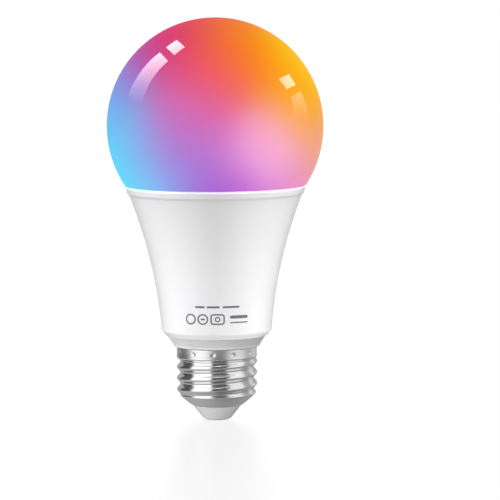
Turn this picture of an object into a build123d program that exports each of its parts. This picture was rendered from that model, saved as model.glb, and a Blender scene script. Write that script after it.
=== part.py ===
from build123d import *
import os
from math import asin, cos, degrees, pi, radians, sin, sqrt, tan

# A smart LED light bulb with a medium Edison screw cap. All sizes are in millimetres.
# +Z is up, from the screw cap to the globe, and the bulb's axis is the Z axis.
# The origin is the centre of the tip contact's flat end face.

# ------------------------------------------------------------------ driving dimensions

# Globe: a milky plastic sphere, cut at the seam, with a skirt that snaps into the housing.
GLOBE_RADIUS = 35.0
GLOBE_CENTRE_Z = 95.4
GLOBE_WALL = 1.1
SEAM_Z = 75.7
SKIRT_OUTER_RADIUS = 26.2
SKIRT_INNER_RADIUS = 25.1
SKIRT_LOW_Z = 72.6
LUG_COUNT = 6
LUG_ARC = 16.0

# Housing: a trumpet that flares from the shoulder up to a rounded lip under the globe.
SHOULDER_Z = 29.2
SHOULDER_RADIUS = 17.8
LIP_LOW_Z = 71.9
LIP_LOW_RADIUS = 27.55
FLARE_GROWTH = 9.65
FLARE_LINEAR_SHARE = 0.33
HOUSING_WALL = 1.3
HOUSING_FOOT_Z = 27.6
HOUSING_FOOT_RADIUS = 16.4
MOUTH_RADIUS = 26.3

# Heat path: a drawn aluminium cup, a pressed plate, a soft pad and the LED board.
CUP_WALL = 0.9
CUP_TOP_Z = 71.0
CUP_FLOOR_Z = 30.4
PLATE_TOP_Z = 70.0
PLATE_THICKNESS = 1.5
PLATE_FLANGE_Z = 65.5
PAD_THICKNESS = 0.3
LED_BOARD_THICKNESS = 1.2
LED_BOARD_RADIUS = 23.4

# Screw cap: a rolled sheet shell with seven turns to the inch and a plain band at its mouth.
THREAD_PITCH = 25.4 / 7
THREAD_CREST_RADIUS = 13.05
THREAD_DEPTH = 1.1
THREAD_CREST_Z = 9.9
THREAD_TOP_Z = 20.9
THREAD_FADE = 1.6
BAND_RADIUS = 13.08
BAND_STEP = 0.04
SHELL_RIM_Z = 24.0
SHELL_LOW_Z = 4.6
SHELL_LOW_RADIUS = 7.95
SHELL_WALL = 0.4
STAKE_COUNT = 12
STAKE_Z = 22.3

# Collar: the plastic neck that carries the cap and closes the housing's foot.
NECK_LOW_Z = 10.5
NECK_TOP_Z = 20.8
NECK_BORE_RADIUS = 9.9
NECK_CLEARANCE = 0.08
CONE_TOP_Z = 27.55
CONE_TOP_RADIUS = 16.05
COLLAR_TOP_Z = 30.8
COLLAR_TUBE_RADIUS = 14.1

# Tip: the insulator and the contact that is pressed into it.
TIP_RADIUS = 3.8
TIP_HEAD_HEIGHT = 1.0
TIP_PIN_RADIUS = 1.2
TIP_PIN_TOP_Z = 7.6
INSULATOR_LOW_Z = 0.35
INSULATOR_LOW_RADIUS = 4.45
INSULATOR_TOP_Z = 7.2

# Driver board: one upright board on the bulb's axis, across X.
DRIVER_THICKNESS = 1.2
DRIVER_LOW_Z = 13.0
DRIVER_TOP_Z = 62.5
DRIVER_NARROW_HALF = 8.6
DRIVER_WIDE_HALF = 13.0
DRIVER_STEP_Z = 31.2
LEAD_RADIUS = 0.5
LEAD_SLOT_ANGLE = 210.0

# LEDs, radio module, header and screws that meet on the LED board.
WHITE_COUNT = 18
WHITE_RING_RADIUS = 18.0
WHITE_HEIGHT = 0.7
RGB_COUNT = 6
RGB_RING_RADIUS = 11.6
RGB_HEIGHT = 1.4
RADIO_Y = 4.5
RADIO_WIDTH = 15.0
RADIO_THICKNESS = 0.8
RADIO_LOW_Z = 57.5
RADIO_TOP_Z = 79.0
HEADER_PINS = 5
HEADER_PITCH = 2.54
HEADER_PIN = 0.64
HEADER_Y = -(DRIVER_THICKNESS + HEADER_PIN) / 2
HEADER_WINDOW = (15.0, 4.6)
SCREW_COUNT = 3
SCREW_RING_RADIUS = 20.9
SCREW_START = 30.0
SCREW_RADIUS = 1.0
SCREW_HEAD_RADIUS = 1.9
SCREW_HEAD_HEIGHT = 1.3

# Worked out from the dimensions above.
GLOBE_SEAM_RADIUS = sqrt(GLOBE_RADIUS**2 - (GLOBE_CENTRE_Z - SEAM_Z) ** 2)
PAD_TOP_Z = PLATE_TOP_Z + PAD_THICKNESS
BOARD_TOP_Z = PAD_TOP_Z + LED_BOARD_THICKNESS
PARTS_Y = DRIVER_THICKNESS / 2
SOLDER_Y = -DRIVER_THICKNESS / 2


# ------------------------------------------------------------------ shared shapes


def flare_radius(z):
    """Outer radius of the trumpet at a height: a parabola from the shoulder to the lip."""
    rise = (z - SHOULDER_Z) / (LIP_LOW_Z - SHOULDER_Z)
    bend = FLARE_LINEAR_SHARE * rise + (1 - FLARE_LINEAR_SHARE) * rise**2
    return SHOULDER_RADIUS + FLARE_GROWTH * bend


def flare_curve(low_z, high_z, inset):
    """The trumpet's outline between two heights, moved in by inset, as one exact Bezier."""
    span = LIP_LOW_Z - SHOULDER_Z
    low, high = (low_z - SHOULDER_Z) / span, (high_z - SHOULDER_Z) / span
    bend = FLARE_LINEAR_SHARE * (low + high) / 2 + (1 - FLARE_LINEAR_SHARE) * low * high
    middle = SHOULDER_RADIUS + FLARE_GROWTH * bend
    return Bezier(
        (flare_radius(low_z) - inset, low_z),
        (middle - inset, (low_z + high_z) / 2),
        (flare_radius(high_z) - inset, high_z),
    )


def smooth_step(share):
    """0 below 0, 1 above 1, and a soft S between."""
    share = min(1.0, max(0.0, share))
    return share * share * (3 - 2 * share)


def thread_radius(angle, z, inset):
    """Radius of the rolled shell at an angle in degrees and a height, moved in by inset.

    A right-handed wave fades out below the band and runs off onto the bottom cone.
    """
    turns = (z - THREAD_CREST_Z) / THREAD_PITCH - (angle - 180) / 360
    wave = (1 - cos(2 * pi * turns)) / 2
    fade = smooth_step((THREAD_TOP_Z - z) / THREAD_FADE)
    threaded = THREAD_CREST_RADIUS - THREAD_DEPTH * wave * fade
    rise = min(z - SHELL_LOW_Z, 8.0)
    cone = SHELL_LOW_RADIUS + 1.45 * rise - 0.07 * rise**2
    softness = 0.5
    overlap = max(softness - abs(threaded - cone), 0) / softness
    return min(threaded, cone) - overlap**2 * softness / 4 - inset


def half_plane(angle):
    """The upright plane at an angle in degrees, whose sketch axes are radius and Z."""
    turn = radians(angle)
    return Plane(origin=(0, 0, 0), x_dir=(cos(turn), sin(turn), 0), z_dir=(sin(turn), -cos(turn), 0))


def thread_curve(angle, heights, inset):
    """Draws the thread's outline in the upright plane at an angle, through a list of heights.

    Every outline has its knots at the same heights, so the lofted surfaces stay light.
    """
    points = [(thread_radius(angle, z, inset), z) for z in heights]
    edge = Edge.make_spline(points, parameters=heights)
    add(edge)
    return edge


def threaded_tube(low_z, high_z, outer_inset, bore_curve):
    """A tube with the thread outside, lofted in two half turns. bore_curve draws its bore."""
    sections = 16
    steps = round((high_z - low_z) / (THREAD_PITCH / 9))
    heights = [low_z + (high_z - low_z) * i / steps for i in range(steps + 1)]
    halves = []
    for start in (0, 180):
        with BuildPart() as half:
            for i in range(sections + 1):
                angle = start + 180 * i / sections
                with BuildSketch(half_plane(angle)):
                    with BuildLine():
                        outer = thread_curve(angle, heights, outer_inset)
                        inner = bore_curve(angle, heights)
                        Line(outer @ 0, inner @ 0)
                        Line(outer @ 1, inner @ 1)
                    make_face()
            loft()
        halves.append(half.part)
    return halves


def bend_radii(points):
    """The largest easy arc at each corner of a lead's route: 0.45 of the shorter run."""
    corners = [Vector(*p) for p in points]
    radii = []
    for before, corner, after in zip(corners, corners[1:], corners[2:]):
        turn = radians((corner - before).get_angle(after - corner))
        radii.append(0.45 * min((corner - before).length, (after - corner).length) / tan(turn / 2))
    return radii


def lead(points, radius):
    """A round lead along a route of straight runs and tangent arcs."""
    with BuildPart() as wire:
        with BuildLine() as route:
            FilletPolyline(*points, radius=bend_radii(points))
        with BuildSketch(Plane(origin=route.line @ 0, z_dir=route.line % 0)):
            Circle(radius)
        sweep()
    return wire


def upright(y):
    """The plane across the bulb at a distance y, whose sketch axes are X and Z."""
    return Plane.XZ.offset(-y)


# ------------------------------------------------------------------ diffuser globe

inner_globe_radius = GLOBE_RADIUS - GLOBE_WALL
shelf_z = SEAM_Z + GLOBE_WALL
seam_angle = degrees(asin((SEAM_Z - GLOBE_CENTRE_Z) / GLOBE_RADIUS))
shelf_angle = degrees(asin((shelf_z - GLOBE_CENTRE_Z) / inner_globe_radius))

with BuildPart() as skirt_lug:
    # A snap lug, ramped below and square above, that clicks into the housing's groove.
    with BuildSketch(Plane.XZ):
        Polygon(
            (SKIRT_OUTER_RADIUS - 0.3, 73.1),
            (SKIRT_OUTER_RADIUS, 73.1),
            (SKIRT_OUTER_RADIUS + 0.5, 73.7),
            (SKIRT_OUTER_RADIUS + 0.5, 74.1),
            (SKIRT_OUTER_RADIUS - 0.3, 74.1),
            align=None,
        )
    revolve(axis=Axis.Z, revolution_arc=LUG_ARC)

with BuildPart() as diffuser:
    with BuildSketch(Plane.XZ):
        with BuildLine():
            outer = CenterArc((0, GLOBE_CENTRE_Z), GLOBE_RADIUS, seam_angle, 90 - seam_angle)
            inner = CenterArc((0, GLOBE_CENTRE_Z), inner_globe_radius, shelf_angle, 90 - shelf_angle)
            Line(outer @ 1, inner @ 1)
            Polyline(
                outer @ 0,
                (SKIRT_OUTER_RADIUS, SEAM_Z),
                (SKIRT_OUTER_RADIUS, SKIRT_LOW_Z),
                (SKIRT_INNER_RADIUS, SKIRT_LOW_Z),
                (SKIRT_INNER_RADIUS, shelf_z),
                inner @ 0,
            )
        make_face()
    revolve(axis=Axis.Z)
    for i in range(LUG_COUNT):
        add(skirt_lug.part.rotate(Axis.Z, 360 * i / LUG_COUNT))

# ------------------------------------------------------------------ silicone bead in the seam

bead_outer_radius = 27.4
bead_low_z = 75.15

with BuildPart() as adhesive_bead:
    with BuildSketch(Plane.XY.offset(bead_low_z)):
        Circle(bead_outer_radius)
        Circle(MOUTH_RADIUS, mode=Mode.SUBTRACT)
    extrude(amount=SEAM_Z - bead_low_z)

# ------------------------------------------------------------------ housing shell

foot_hole_radius = COLLAR_TUBE_RADIUS + 0.05
cup_outer_inset = HOUSING_WALL

with BuildPart() as housing_shell:
    with BuildSketch(Plane.XZ):
        with BuildLine():
            flare = flare_curve(SHOULDER_Z, LIP_LOW_Z - 0.15, 0)
            Line(flare @ 1, (LIP_LOW_RADIUS, LIP_LOW_Z))
            ThreePointArc((LIP_LOW_RADIUS, LIP_LOW_Z), (28.35, 73.7), (GLOBE_SEAM_RADIUS, SEAM_Z))
            lining = flare_curve(30.2, 71.3, cup_outer_inset)
            Polyline(
                (GLOBE_SEAM_RADIUS, SEAM_Z),
                (bead_outer_radius, SEAM_Z),
                (bead_outer_radius, bead_low_z),
                (MOUTH_RADIUS, bead_low_z),
                (MOUTH_RADIUS, 74.3),
                (MOUTH_RADIUS + 0.6, 74.3),
                (MOUTH_RADIUS + 0.6, 72.9),
                (MOUTH_RADIUS, 72.9),
                (MOUTH_RADIUS, 71.3),
                lining @ 1,
            )
            Polyline(
                lining @ 0,
                (15.8, 29.0),
                (foot_hole_radius, 29.0),
                (foot_hole_radius, HOUSING_FOOT_Z),
                (HOUSING_FOOT_RADIUS, HOUSING_FOOT_Z),
                flare @ 0,
            )
        make_face()
    revolve(axis=Axis.Z)
    shoulder = housing_shell.edges().filter_by(GeomType.CIRCLE)
    fillet(shoulder.filter_by(lambda e: abs(e.radius - SHOULDER_RADIUS) < 1e-3), radius=0.8)

# ------------------------------------------------------------------ aluminium cup, plate and pad

cup_inner_inset = HOUSING_WALL + CUP_WALL

with BuildPart() as heatsink_cup:
    with BuildSketch(Plane.XZ):
        with BuildLine():
            outside = flare_curve(31.2, CUP_TOP_Z, cup_outer_inset + 0.03)
            inside = flare_curve(CUP_FLOOR_Z + CUP_WALL, CUP_TOP_Z, cup_inner_inset)
            Line(outside @ 1, inside @ 1)
            Polyline(
                outside @ 0,
                (15.9, CUP_FLOOR_Z),
                (COLLAR_TUBE_RADIUS + 0.6, CUP_FLOOR_Z),
                (COLLAR_TUBE_RADIUS + 0.6, CUP_FLOOR_Z + CUP_WALL),
                inside @ 0,
            )
        make_face()
    revolve(axis=Axis.Z)


def draw_openings(slack, screw_hole_radius):
    """Draws the header's window, the radio board's slot and the screw holes in the open sketch."""
    with Locations((0, HEADER_Y)):
        Rectangle(HEADER_WINDOW[0], HEADER_WINDOW[1])
    with Locations((0, RADIO_Y)):
        Rectangle(RADIO_WIDTH + slack, RADIO_THICKNESS + slack)
    with PolarLocations(SCREW_RING_RADIUS, SCREW_COUNT, start_angle=SCREW_START):
        Circle(screw_hole_radius)


with BuildPart() as heatsink_plate:
    flange_inset = cup_inner_inset + 0.03
    under_z = PLATE_TOP_Z - PLATE_THICKNESS
    with BuildSketch(Plane.XZ):
        with BuildLine():
            outside = flare_curve(PLATE_FLANGE_Z, PLATE_TOP_Z, flange_inset)
            inside = flare_curve(PLATE_FLANGE_Z, under_z, flange_inset + 1.2)
            Line(outside @ 0, inside @ 0)
            Polyline(outside @ 1, (0, PLATE_TOP_Z), (0, under_z), inside @ 1)
        make_face()
    revolve(axis=Axis.Z)
    with BuildSketch(Plane.XY.offset(PLATE_TOP_Z)):
        draw_openings(1.2, SCREW_RADIUS)
    extrude(amount=-PLATE_THICKNESS, mode=Mode.SUBTRACT)

with BuildPart() as thermal_pad:
    with BuildSketch(Plane.XY.offset(PLATE_TOP_Z)):
        Circle(LED_BOARD_RADIUS - 0.6)
    extrude(amount=PAD_THICKNESS)
    with BuildSketch(Plane.XY.offset(PLATE_TOP_Z)):
        draw_openings(1.2, SCREW_RADIUS + 0.5)
    extrude(amount=PAD_THICKNESS, mode=Mode.SUBTRACT)

# ------------------------------------------------------------------ LED board and its LEDs

with BuildPart() as led_board:
    with BuildSketch(Plane.XY.offset(PAD_TOP_Z)):
        Circle(LED_BOARD_RADIUS)
        with Locations((0, RADIO_Y)):
            Rectangle(RADIO_WIDTH + 0.4, RADIO_THICKNESS + 0.4, mode=Mode.SUBTRACT)
        with Locations((0, HEADER_Y)):
            with GridLocations(HEADER_PITCH, 1, HEADER_PINS, 1):
                Circle(0.55, mode=Mode.SUBTRACT)
        with PolarLocations(SCREW_RING_RADIUS, SCREW_COUNT, start_angle=SCREW_START):
            Circle(SCREW_RADIUS + 0.2, mode=Mode.SUBTRACT)
    extrude(amount=LED_BOARD_THICKNESS)

white_window_depth = 0.35

with BuildPart() as white_led_frames:
    with BuildSketch(Plane.XY.offset(BOARD_TOP_Z)):
        with PolarLocations(WHITE_RING_RADIUS, WHITE_COUNT):
            Rectangle(2.8, 3.5)
    extrude(amount=WHITE_HEIGHT)
    with BuildSketch(Plane.XY.offset(BOARD_TOP_Z + WHITE_HEIGHT)):
        with PolarLocations(WHITE_RING_RADIUS, WHITE_COUNT):
            RectangleRounded(2.0, 2.6, 0.5)
    extrude(amount=-white_window_depth, mode=Mode.SUBTRACT)


def white_windows(start_angle):
    """Every second white LED's phosphor window, from a start angle in degrees."""
    with BuildPart() as windows:
        with BuildSketch(Plane.XY.offset(BOARD_TOP_Z + WHITE_HEIGHT - white_window_depth)):
            with PolarLocations(WHITE_RING_RADIUS, WHITE_COUNT // 2, start_angle=start_angle):
                RectangleRounded(2.0, 2.6, 0.5)
        extrude(amount=white_window_depth)
    return windows


cool_white_windows = white_windows(0)
warm_white_windows = white_windows(360 / WHITE_COUNT)

with BuildPart() as rgb_led_frames:
    with BuildSketch(Plane.XY.offset(BOARD_TOP_Z)):
        with PolarLocations(RGB_RING_RADIUS, RGB_COUNT):
            Rectangle(5.0, 5.0)
    extrude(amount=RGB_HEIGHT)
    with BuildSketch(Plane.XY.offset(BOARD_TOP_Z + RGB_HEIGHT)):
        with PolarLocations(RGB_RING_RADIUS, RGB_COUNT):
            Circle(1.9)
    extrude(amount=-0.7, mode=Mode.SUBTRACT)

with BuildPart() as rgb_led_windows:
    with BuildSketch(Plane.XY.offset(BOARD_TOP_Z + RGB_HEIGHT - 0.7)):
        with PolarLocations(RGB_RING_RADIUS, RGB_COUNT):
            Circle(1.9)
    extrude(amount=0.7)

with BuildPart() as board_screws:
    with BuildSketch(Plane.XY.offset(BOARD_TOP_Z)):
        with PolarLocations(SCREW_RING_RADIUS, SCREW_COUNT, start_angle=SCREW_START):
            Circle(SCREW_HEAD_RADIUS)
    extrude(amount=SCREW_HEAD_HEIGHT)
    fillet(board_screws.edges().group_by(Axis.Z)[-1], radius=0.5)
    with BuildSketch(Plane.XY.offset(BOARD_TOP_Z)):
        with PolarLocations(SCREW_RING_RADIUS, SCREW_COUNT, start_angle=SCREW_START):
            Circle(SCREW_RADIUS)
    extrude(amount=-(LED_BOARD_THICKNESS + PAD_THICKNESS + PLATE_THICKNESS + 1.5))
    with BuildSketch(Plane.XY.offset(BOARD_TOP_Z + SCREW_HEAD_HEIGHT)):
        with PolarLocations(SCREW_RING_RADIUS, SCREW_COUNT, start_angle=SCREW_START):
            Rectangle(2.4, 0.5)
            Rectangle(0.5, 2.4)
    extrude(amount=-0.7, mode=Mode.SUBTRACT)

# ------------------------------------------------------------------ radio module through the LED board

radio_face_y = RADIO_Y + RADIO_THICKNESS / 2
radio_back_y = RADIO_Y - RADIO_THICKNESS / 2

with BuildPart() as radio_board:
    with BuildSketch(upright(RADIO_Y)):
        with Locations((0, (RADIO_LOW_Z + RADIO_TOP_Z) / 2)):
            RectangleRounded(RADIO_WIDTH, RADIO_TOP_Z - RADIO_LOW_Z, 0.5)
    extrude(amount=RADIO_THICKNESS / 2, both=True)

with BuildPart() as radio_shield:
    with Locations((0, radio_face_y + 0.9, 63.2)):
        Box(12.0, 1.8, 8.0)
    fillet(radio_shield.edges().group_by(Axis.Y)[-1], radius=0.4)

antenna_z = 75.6
antenna_height = 4.4
antenna_track = 0.7
antenna_step = 1.6

with BuildPart() as radio_antenna:
    # A printed meander: eight upright legs, joined in turn at the top and at the bottom.
    with BuildSketch(upright(radio_face_y)):
        with Locations((0, antenna_z)):
            with GridLocations(antenna_step, 1, 8, 1):
                Rectangle(antenna_track, antenna_height)
        with Locations((0, antenna_z + (antenna_height - antenna_track) / 2)):
            with GridLocations(2 * antenna_step, 1, 4, 1):
                Rectangle(antenna_step + antenna_track, antenna_track)
        with Locations((0, antenna_z - (antenna_height - antenna_track) / 2)):
            with GridLocations(2 * antenna_step, 1, 3, 1):
                Rectangle(antenna_step + antenna_track, antenna_track)
    extrude(amount=-0.1)

radio_pin_z = 59.0

with BuildPart() as radio_pins:
    # Pins between the driver board's face and the radio board's back.
    with BuildSketch(upright(PARTS_Y)):
        with Locations((0, radio_pin_z)):
            with GridLocations(2.0, 1, 7, 1):
                Rectangle(0.5, 0.5)
    extrude(amount=-(radio_back_y - PARTS_Y))

with BuildPart() as radio_pin_spacer:
    with Locations((0, (PARTS_Y + radio_back_y) / 2, radio_pin_z)):
        Box(14.0, 2.0, 2.0)
    add(radio_pins.part, mode=Mode.SUBTRACT)

# ------------------------------------------------------------------ driver board and its header

with BuildPart() as driver_board:
    with BuildSketch(Plane.XZ) as driver_outline:
        with Locations((0, (DRIVER_STEP_Z + DRIVER_TOP_Z) / 2)):
            Rectangle(2 * DRIVER_WIDE_HALF, DRIVER_TOP_Z - DRIVER_STEP_Z)
        with Locations((0, (DRIVER_LOW_Z + DRIVER_STEP_Z) / 2)):
            Rectangle(2 * DRIVER_NARROW_HALF, DRIVER_STEP_Z - DRIVER_LOW_Z)
        chamfer(driver_outline.vertices().group_by(Axis.Y)[0], length=1.0)
        chamfer(driver_outline.vertices().group_by(Axis.Y)[-1], length=1.0)
    extrude(amount=DRIVER_THICKNESS / 2, both=True)

with BuildPart() as header_pins:
    with BuildSketch(Plane.XY.offset(57.0)):
        with Locations((0, HEADER_Y)):
            with GridLocations(HEADER_PITCH, 1, HEADER_PINS, 1):
                Rectangle(HEADER_PIN, HEADER_PIN)
    extrude(amount=BOARD_TOP_Z + 1.1 - 57.0)

with BuildPart() as header_body:
    with Locations((0, HEADER_Y, 64.15)):
        Box(HEADER_PINS * HEADER_PITCH, 2.5, 2.5)
    chamfer(header_body.edges().filter_by(Axis.Z), length=0.4)
    add(header_pins.part, mode=Mode.SUBTRACT)

# ------------------------------------------------------------------ capacitors, varistor and their leads

# Each capacitor: x, y, radius, lower end, height, and +1 or -1 for a vent above or below.
CAPACITORS = (
    (0.0, 5.0, 4.0, 13.5, 13.0, -1),
    (8.2, 4.4, 3.15, 48.4, 8.8, 1),
)
sleeve_thickness = 0.15

with BuildPart() as capacitor_cans:
    for x, y, radius, low_z, height, vent in CAPACITORS:
        with BuildSketch(Plane.XY.offset(low_z)):
            with Locations((x, y)):
                Circle(radius - sleeve_thickness - 0.02)
        extrude(amount=height)
        # The scored cross that lets a failing capacitor vent.
        vent_z = low_z + height if vent > 0 else low_z
        with BuildSketch(Plane.XY.offset(vent_z)):
            with Locations((x, y)):
                Rectangle(radius, 0.3)
                Rectangle(0.3, radius)
        extrude(amount=-0.2 * vent, mode=Mode.SUBTRACT)

with BuildPart() as capacitor_sleeves:
    for x, y, radius, low_z, height, _ in CAPACITORS:
        with BuildSketch(Plane.XY.offset(low_z + 0.1)):
            with Locations((x, y)):
                Circle(radius)
                Circle(radius - sleeve_thickness, mode=Mode.SUBTRACT)
        extrude(amount=height - 0.2)

with BuildPart() as film_capacitor:
    with Locations((-7.0, PARTS_Y + 2.5, 35.6)):
        Box(9.0, 5.0, 8.0)
    fillet(film_capacitor.edges().group_by(Axis.Y)[-1], radius=0.8)

varistor_x = 5.5
varistor_z = 35.3

with BuildPart() as varistor:
    with BuildSketch(upright(1.2)):
        with Locations((varistor_x, varistor_z)):
            Circle(3.75)
    extrude(amount=-3.2)
    fillet(varistor.edges(), radius=1.0)

component_lead_radius = 0.3
bent_leads = [
    lead([(x, y, can_z), (x, y, hole_z), (x, PARTS_Y, hole_z)], component_lead_radius)
    for x, y, can_z, hole_z in (
        (-1.75, 5.0, 26.5, 28.0),
        (1.75, 5.0, 26.5, 28.0),
        (6.95, 4.4, 48.4, 47.6),
        (9.45, 4.4, 48.4, 47.6),
    )
]

with BuildPart() as component_leads:
    for wire in bent_leads:
        add(wire.part)
    with BuildSketch(upright(PARTS_Y)):
        with Locations((varistor_x - 2.0, varistor_z), (varistor_x + 2.0, varistor_z)):
            Circle(component_lead_radius)
    extrude(amount=-0.6)

# ------------------------------------------------------------------ choke and transformer

choke_x = 8.0
choke_z = 44.0
choke_length = 9.0

with BuildPart() as choke_core:
    with BuildSketch(upright(PARTS_Y)):
        with Locations((choke_x, choke_z)):
            Circle(3.0)
    extrude(amount=-choke_length)
    with BuildSketch(upright(PARTS_Y + 0.8)):
        with Locations((choke_x, choke_z)):
            Circle(3.2)
            Circle(1.5, mode=Mode.SUBTRACT)
    extrude(amount=-(choke_length - 1.6), mode=Mode.SUBTRACT)

with BuildPart() as choke_winding:
    with BuildSketch(upright(PARTS_Y + 0.85)):
        with Locations((choke_x, choke_z)):
            Circle(2.7)
            Circle(1.52, mode=Mode.SUBTRACT)
    extrude(amount=-(choke_length - 1.7))

transformer_centre = (-4.0, 6.3, 48.2)
post_width, post_depth = 4.8, 5.0

with BuildPart() as transformer_core:
    with Locations(transformer_centre):
        Box(14.0, post_depth, 14.0)
        with Locations((-3.9, 0, 0), (3.9, 0, 0)):
            Box(3.0, post_depth, 9.0, mode=Mode.SUBTRACT)

with BuildPart() as transformer_bobbin:
    with Locations(transformer_centre):
        Box(post_width + 1.5, post_depth + 1.5, 8.8)
        with Locations((0, -0.15, -4.05), (0, -0.15, 4.05)):
            Box(10.6, 11.1, 0.7)
        Box(post_width + 0.1, post_depth + 0.1, 9.0, mode=Mode.SUBTRACT)

with BuildPart() as transformer_winding:
    with Locations(transformer_centre):
        Box(10.0, 10.4, 7.3)
    fillet(transformer_winding.edges().filter_by(Axis.Z), radius=2.0)
    with Locations(transformer_centre):
        Box(post_width + 1.55, post_depth + 1.55, 7.4, mode=Mode.SUBTRACT)

# ------------------------------------------------------------------ solder side of the driver board

CHIP_CENTRES = ((5.6, 39.7), (-4.0, 49.0))
BRIDGE_CENTRE = (-6.0, 39.6)
chip_low_y = SOLDER_Y - 0.15

with BuildPart() as driver_chips:
    with Locations(*[(x, chip_low_y - 0.7, z) for x, z in CHIP_CENTRES]):
        Box(4.9, 1.4, 3.9)
    chamfer(driver_chips.edges().group_by(Axis.Y)[0], length=0.2)

with BuildPart() as bridge_rectifier:
    with Locations((BRIDGE_CENTRE[0], chip_low_y - 0.9, BRIDGE_CENTRE[1])):
        Box(4.9, 1.8, 3.9)
    chamfer(bridge_rectifier.edges().group_by(Axis.Y)[0], length=0.3)

with BuildPart() as gull_leg:
    # One leg: a foot on the board, a riser, and a shoulder that meets the chip's side.
    with BuildSketch(Plane.YZ):
        Polygon(
            (SOLDER_Y, 2.15),
            (SOLDER_Y, 3.0),
            (SOLDER_Y - 0.2, 3.0),
            (SOLDER_Y - 0.2, 2.35),
            (SOLDER_Y - 0.95, 2.35),
            (SOLDER_Y - 0.95, 1.95),
            (SOLDER_Y - 0.75, 1.95),
            (SOLDER_Y - 0.75, 2.15),
            align=None,
        )
    extrude(amount=0.2, both=True)

with BuildPart() as chip_legs:
    leg_places = [(x + 1.27 * (i - 1.5), z) for x, z in CHIP_CENTRES for i in range(4)]
    leg_places += [(BRIDGE_CENTRE[0] + side * 1.9, BRIDGE_CENTRE[1]) for side in (-1, 1)]
    for x, z in leg_places:
        with Locations(Location((x, 0, z)), Location((x, 0, z), (0, 180, 0))):
            add(gull_leg.part)

RESISTOR_BLOCK = (6.7, 53.6)
CERAMIC_BLOCK = (-4.6, 48.0)

with BuildPart() as chip_resistors:
    with BuildSketch(upright(SOLDER_Y)):
        with Locations(RESISTOR_BLOCK):
            with GridLocations(3.0, 1.8, 2, 4):
                Rectangle(1.0, 0.8)
    extrude(amount=0.45)

with BuildPart() as chip_capacitors:
    with BuildSketch(upright(SOLDER_Y)):
        with Locations(CERAMIC_BLOCK):
            with GridLocations(9.8, 2.2, 2, 3):
                Rectangle(1.4, 1.25)
    extrude(amount=0.8)

with BuildPart() as chip_terminals:
    with BuildSketch(upright(SOLDER_Y)):
        with Locations(RESISTOR_BLOCK):
            with GridLocations(3.0, 1.8, 2, 4):
                with Locations((-0.65, 0), (0.65, 0)):
                    Rectangle(0.3, 0.8)
    extrude(amount=0.45)
    with BuildSketch(upright(SOLDER_Y)):
        with Locations(CERAMIC_BLOCK):
            with GridLocations(9.8, 2.2, 2, 3):
                with Locations((-0.85, 0), (0.85, 0)):
                    Rectangle(0.3, 1.25)
    extrude(amount=0.8)

SOLDER_PLACES = (
    (-1.75, 28.0), (1.75, 28.0),
    (6.95, 47.6), (9.45, 47.6),
    (-10.5, 35.6), (-3.5, 35.6),
    (3.5, 35.3), (7.5, 35.3),
    (6.2, 44.2), (10.0, 44.2),
    (-10.0, 42.4), (2.0, 42.4),
    (-10.0, 54.0), (2.0, 54.0),
)

with BuildPart() as solder_joints:
    with BuildSketch(upright(SOLDER_Y)):
        with Locations(*SOLDER_PLACES):
            Circle(0.85)
    extrude(amount=0.7, taper=30)

# ------------------------------------------------------------------ fuse, sleeve and supply leads

fuse_x, fuse_y = 4.5, -4.2
fuse_low_z, fuse_high_z = 12.8, 19.8

with BuildPart() as fusible_resistor:
    with BuildSketch(Plane.XY.offset(fuse_low_z)):
        with Locations((fuse_x, fuse_y)):
            Circle(1.5)
    extrude(amount=fuse_high_z - fuse_low_z)
    fillet(fusible_resistor.edges().filter_by(GeomType.CIRCLE), radius=0.5)

with BuildPart() as heat_shrink_sleeve:
    with BuildSketch(Plane.XY.offset(fuse_low_z - 1.0)):
        with Locations((fuse_x, fuse_y)):
            Circle(1.8)
            Circle(1.55, mode=Mode.SUBTRACT)
    extrude(amount=fuse_high_z - fuse_low_z + 2.0)

fuse_lead = lead(
    [(fuse_x, SOLDER_Y, 23.0), (fuse_x, fuse_y, 23.0), (fuse_x, fuse_y, fuse_high_z)],
    LEAD_RADIUS,
)
tip_lead = lead(
    [(fuse_x, fuse_y, fuse_low_z), (fuse_x, fuse_y, 11.6), (0, 0, 9.0), (0, 0, 6.0)],
    LEAD_RADIUS,
)

with BuildPart() as live_lead:
    add(fuse_lead.part)
    add(tip_lead.part)


def neutral_point(radius, z):
    """A point of the neutral lead's route, in the upright plane of the neck's slot."""
    turn = radians(LEAD_SLOT_ANGLE)
    return (radius * cos(turn), radius * sin(turn), z)


neutral_bend = neutral_point(6.0, 22.5)
neutral_lead = lead(
    [
        (neutral_bend[0], SOLDER_Y, 22.5),
        neutral_bend,
        neutral_point(6.0, 12.5),
        neutral_point(8.2, 9.3),
        neutral_point(11.0, 9.3),
        neutral_point(11.0, 16.0),
    ],
    LEAD_RADIUS,
)

# ------------------------------------------------------------------ base collar

neck_inset = SHELL_WALL + NECK_CLEARANCE


def neck_bore(angle, heights):
    """The neck's bore: a straight line, the same at every angle."""
    return Line((NECK_BORE_RADIUS, heights[0]), (NECK_BORE_RADIUS, heights[-1]))


neck_halves = threaded_tube(NECK_LOW_Z, NECK_TOP_Z, neck_inset, neck_bore)

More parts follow.
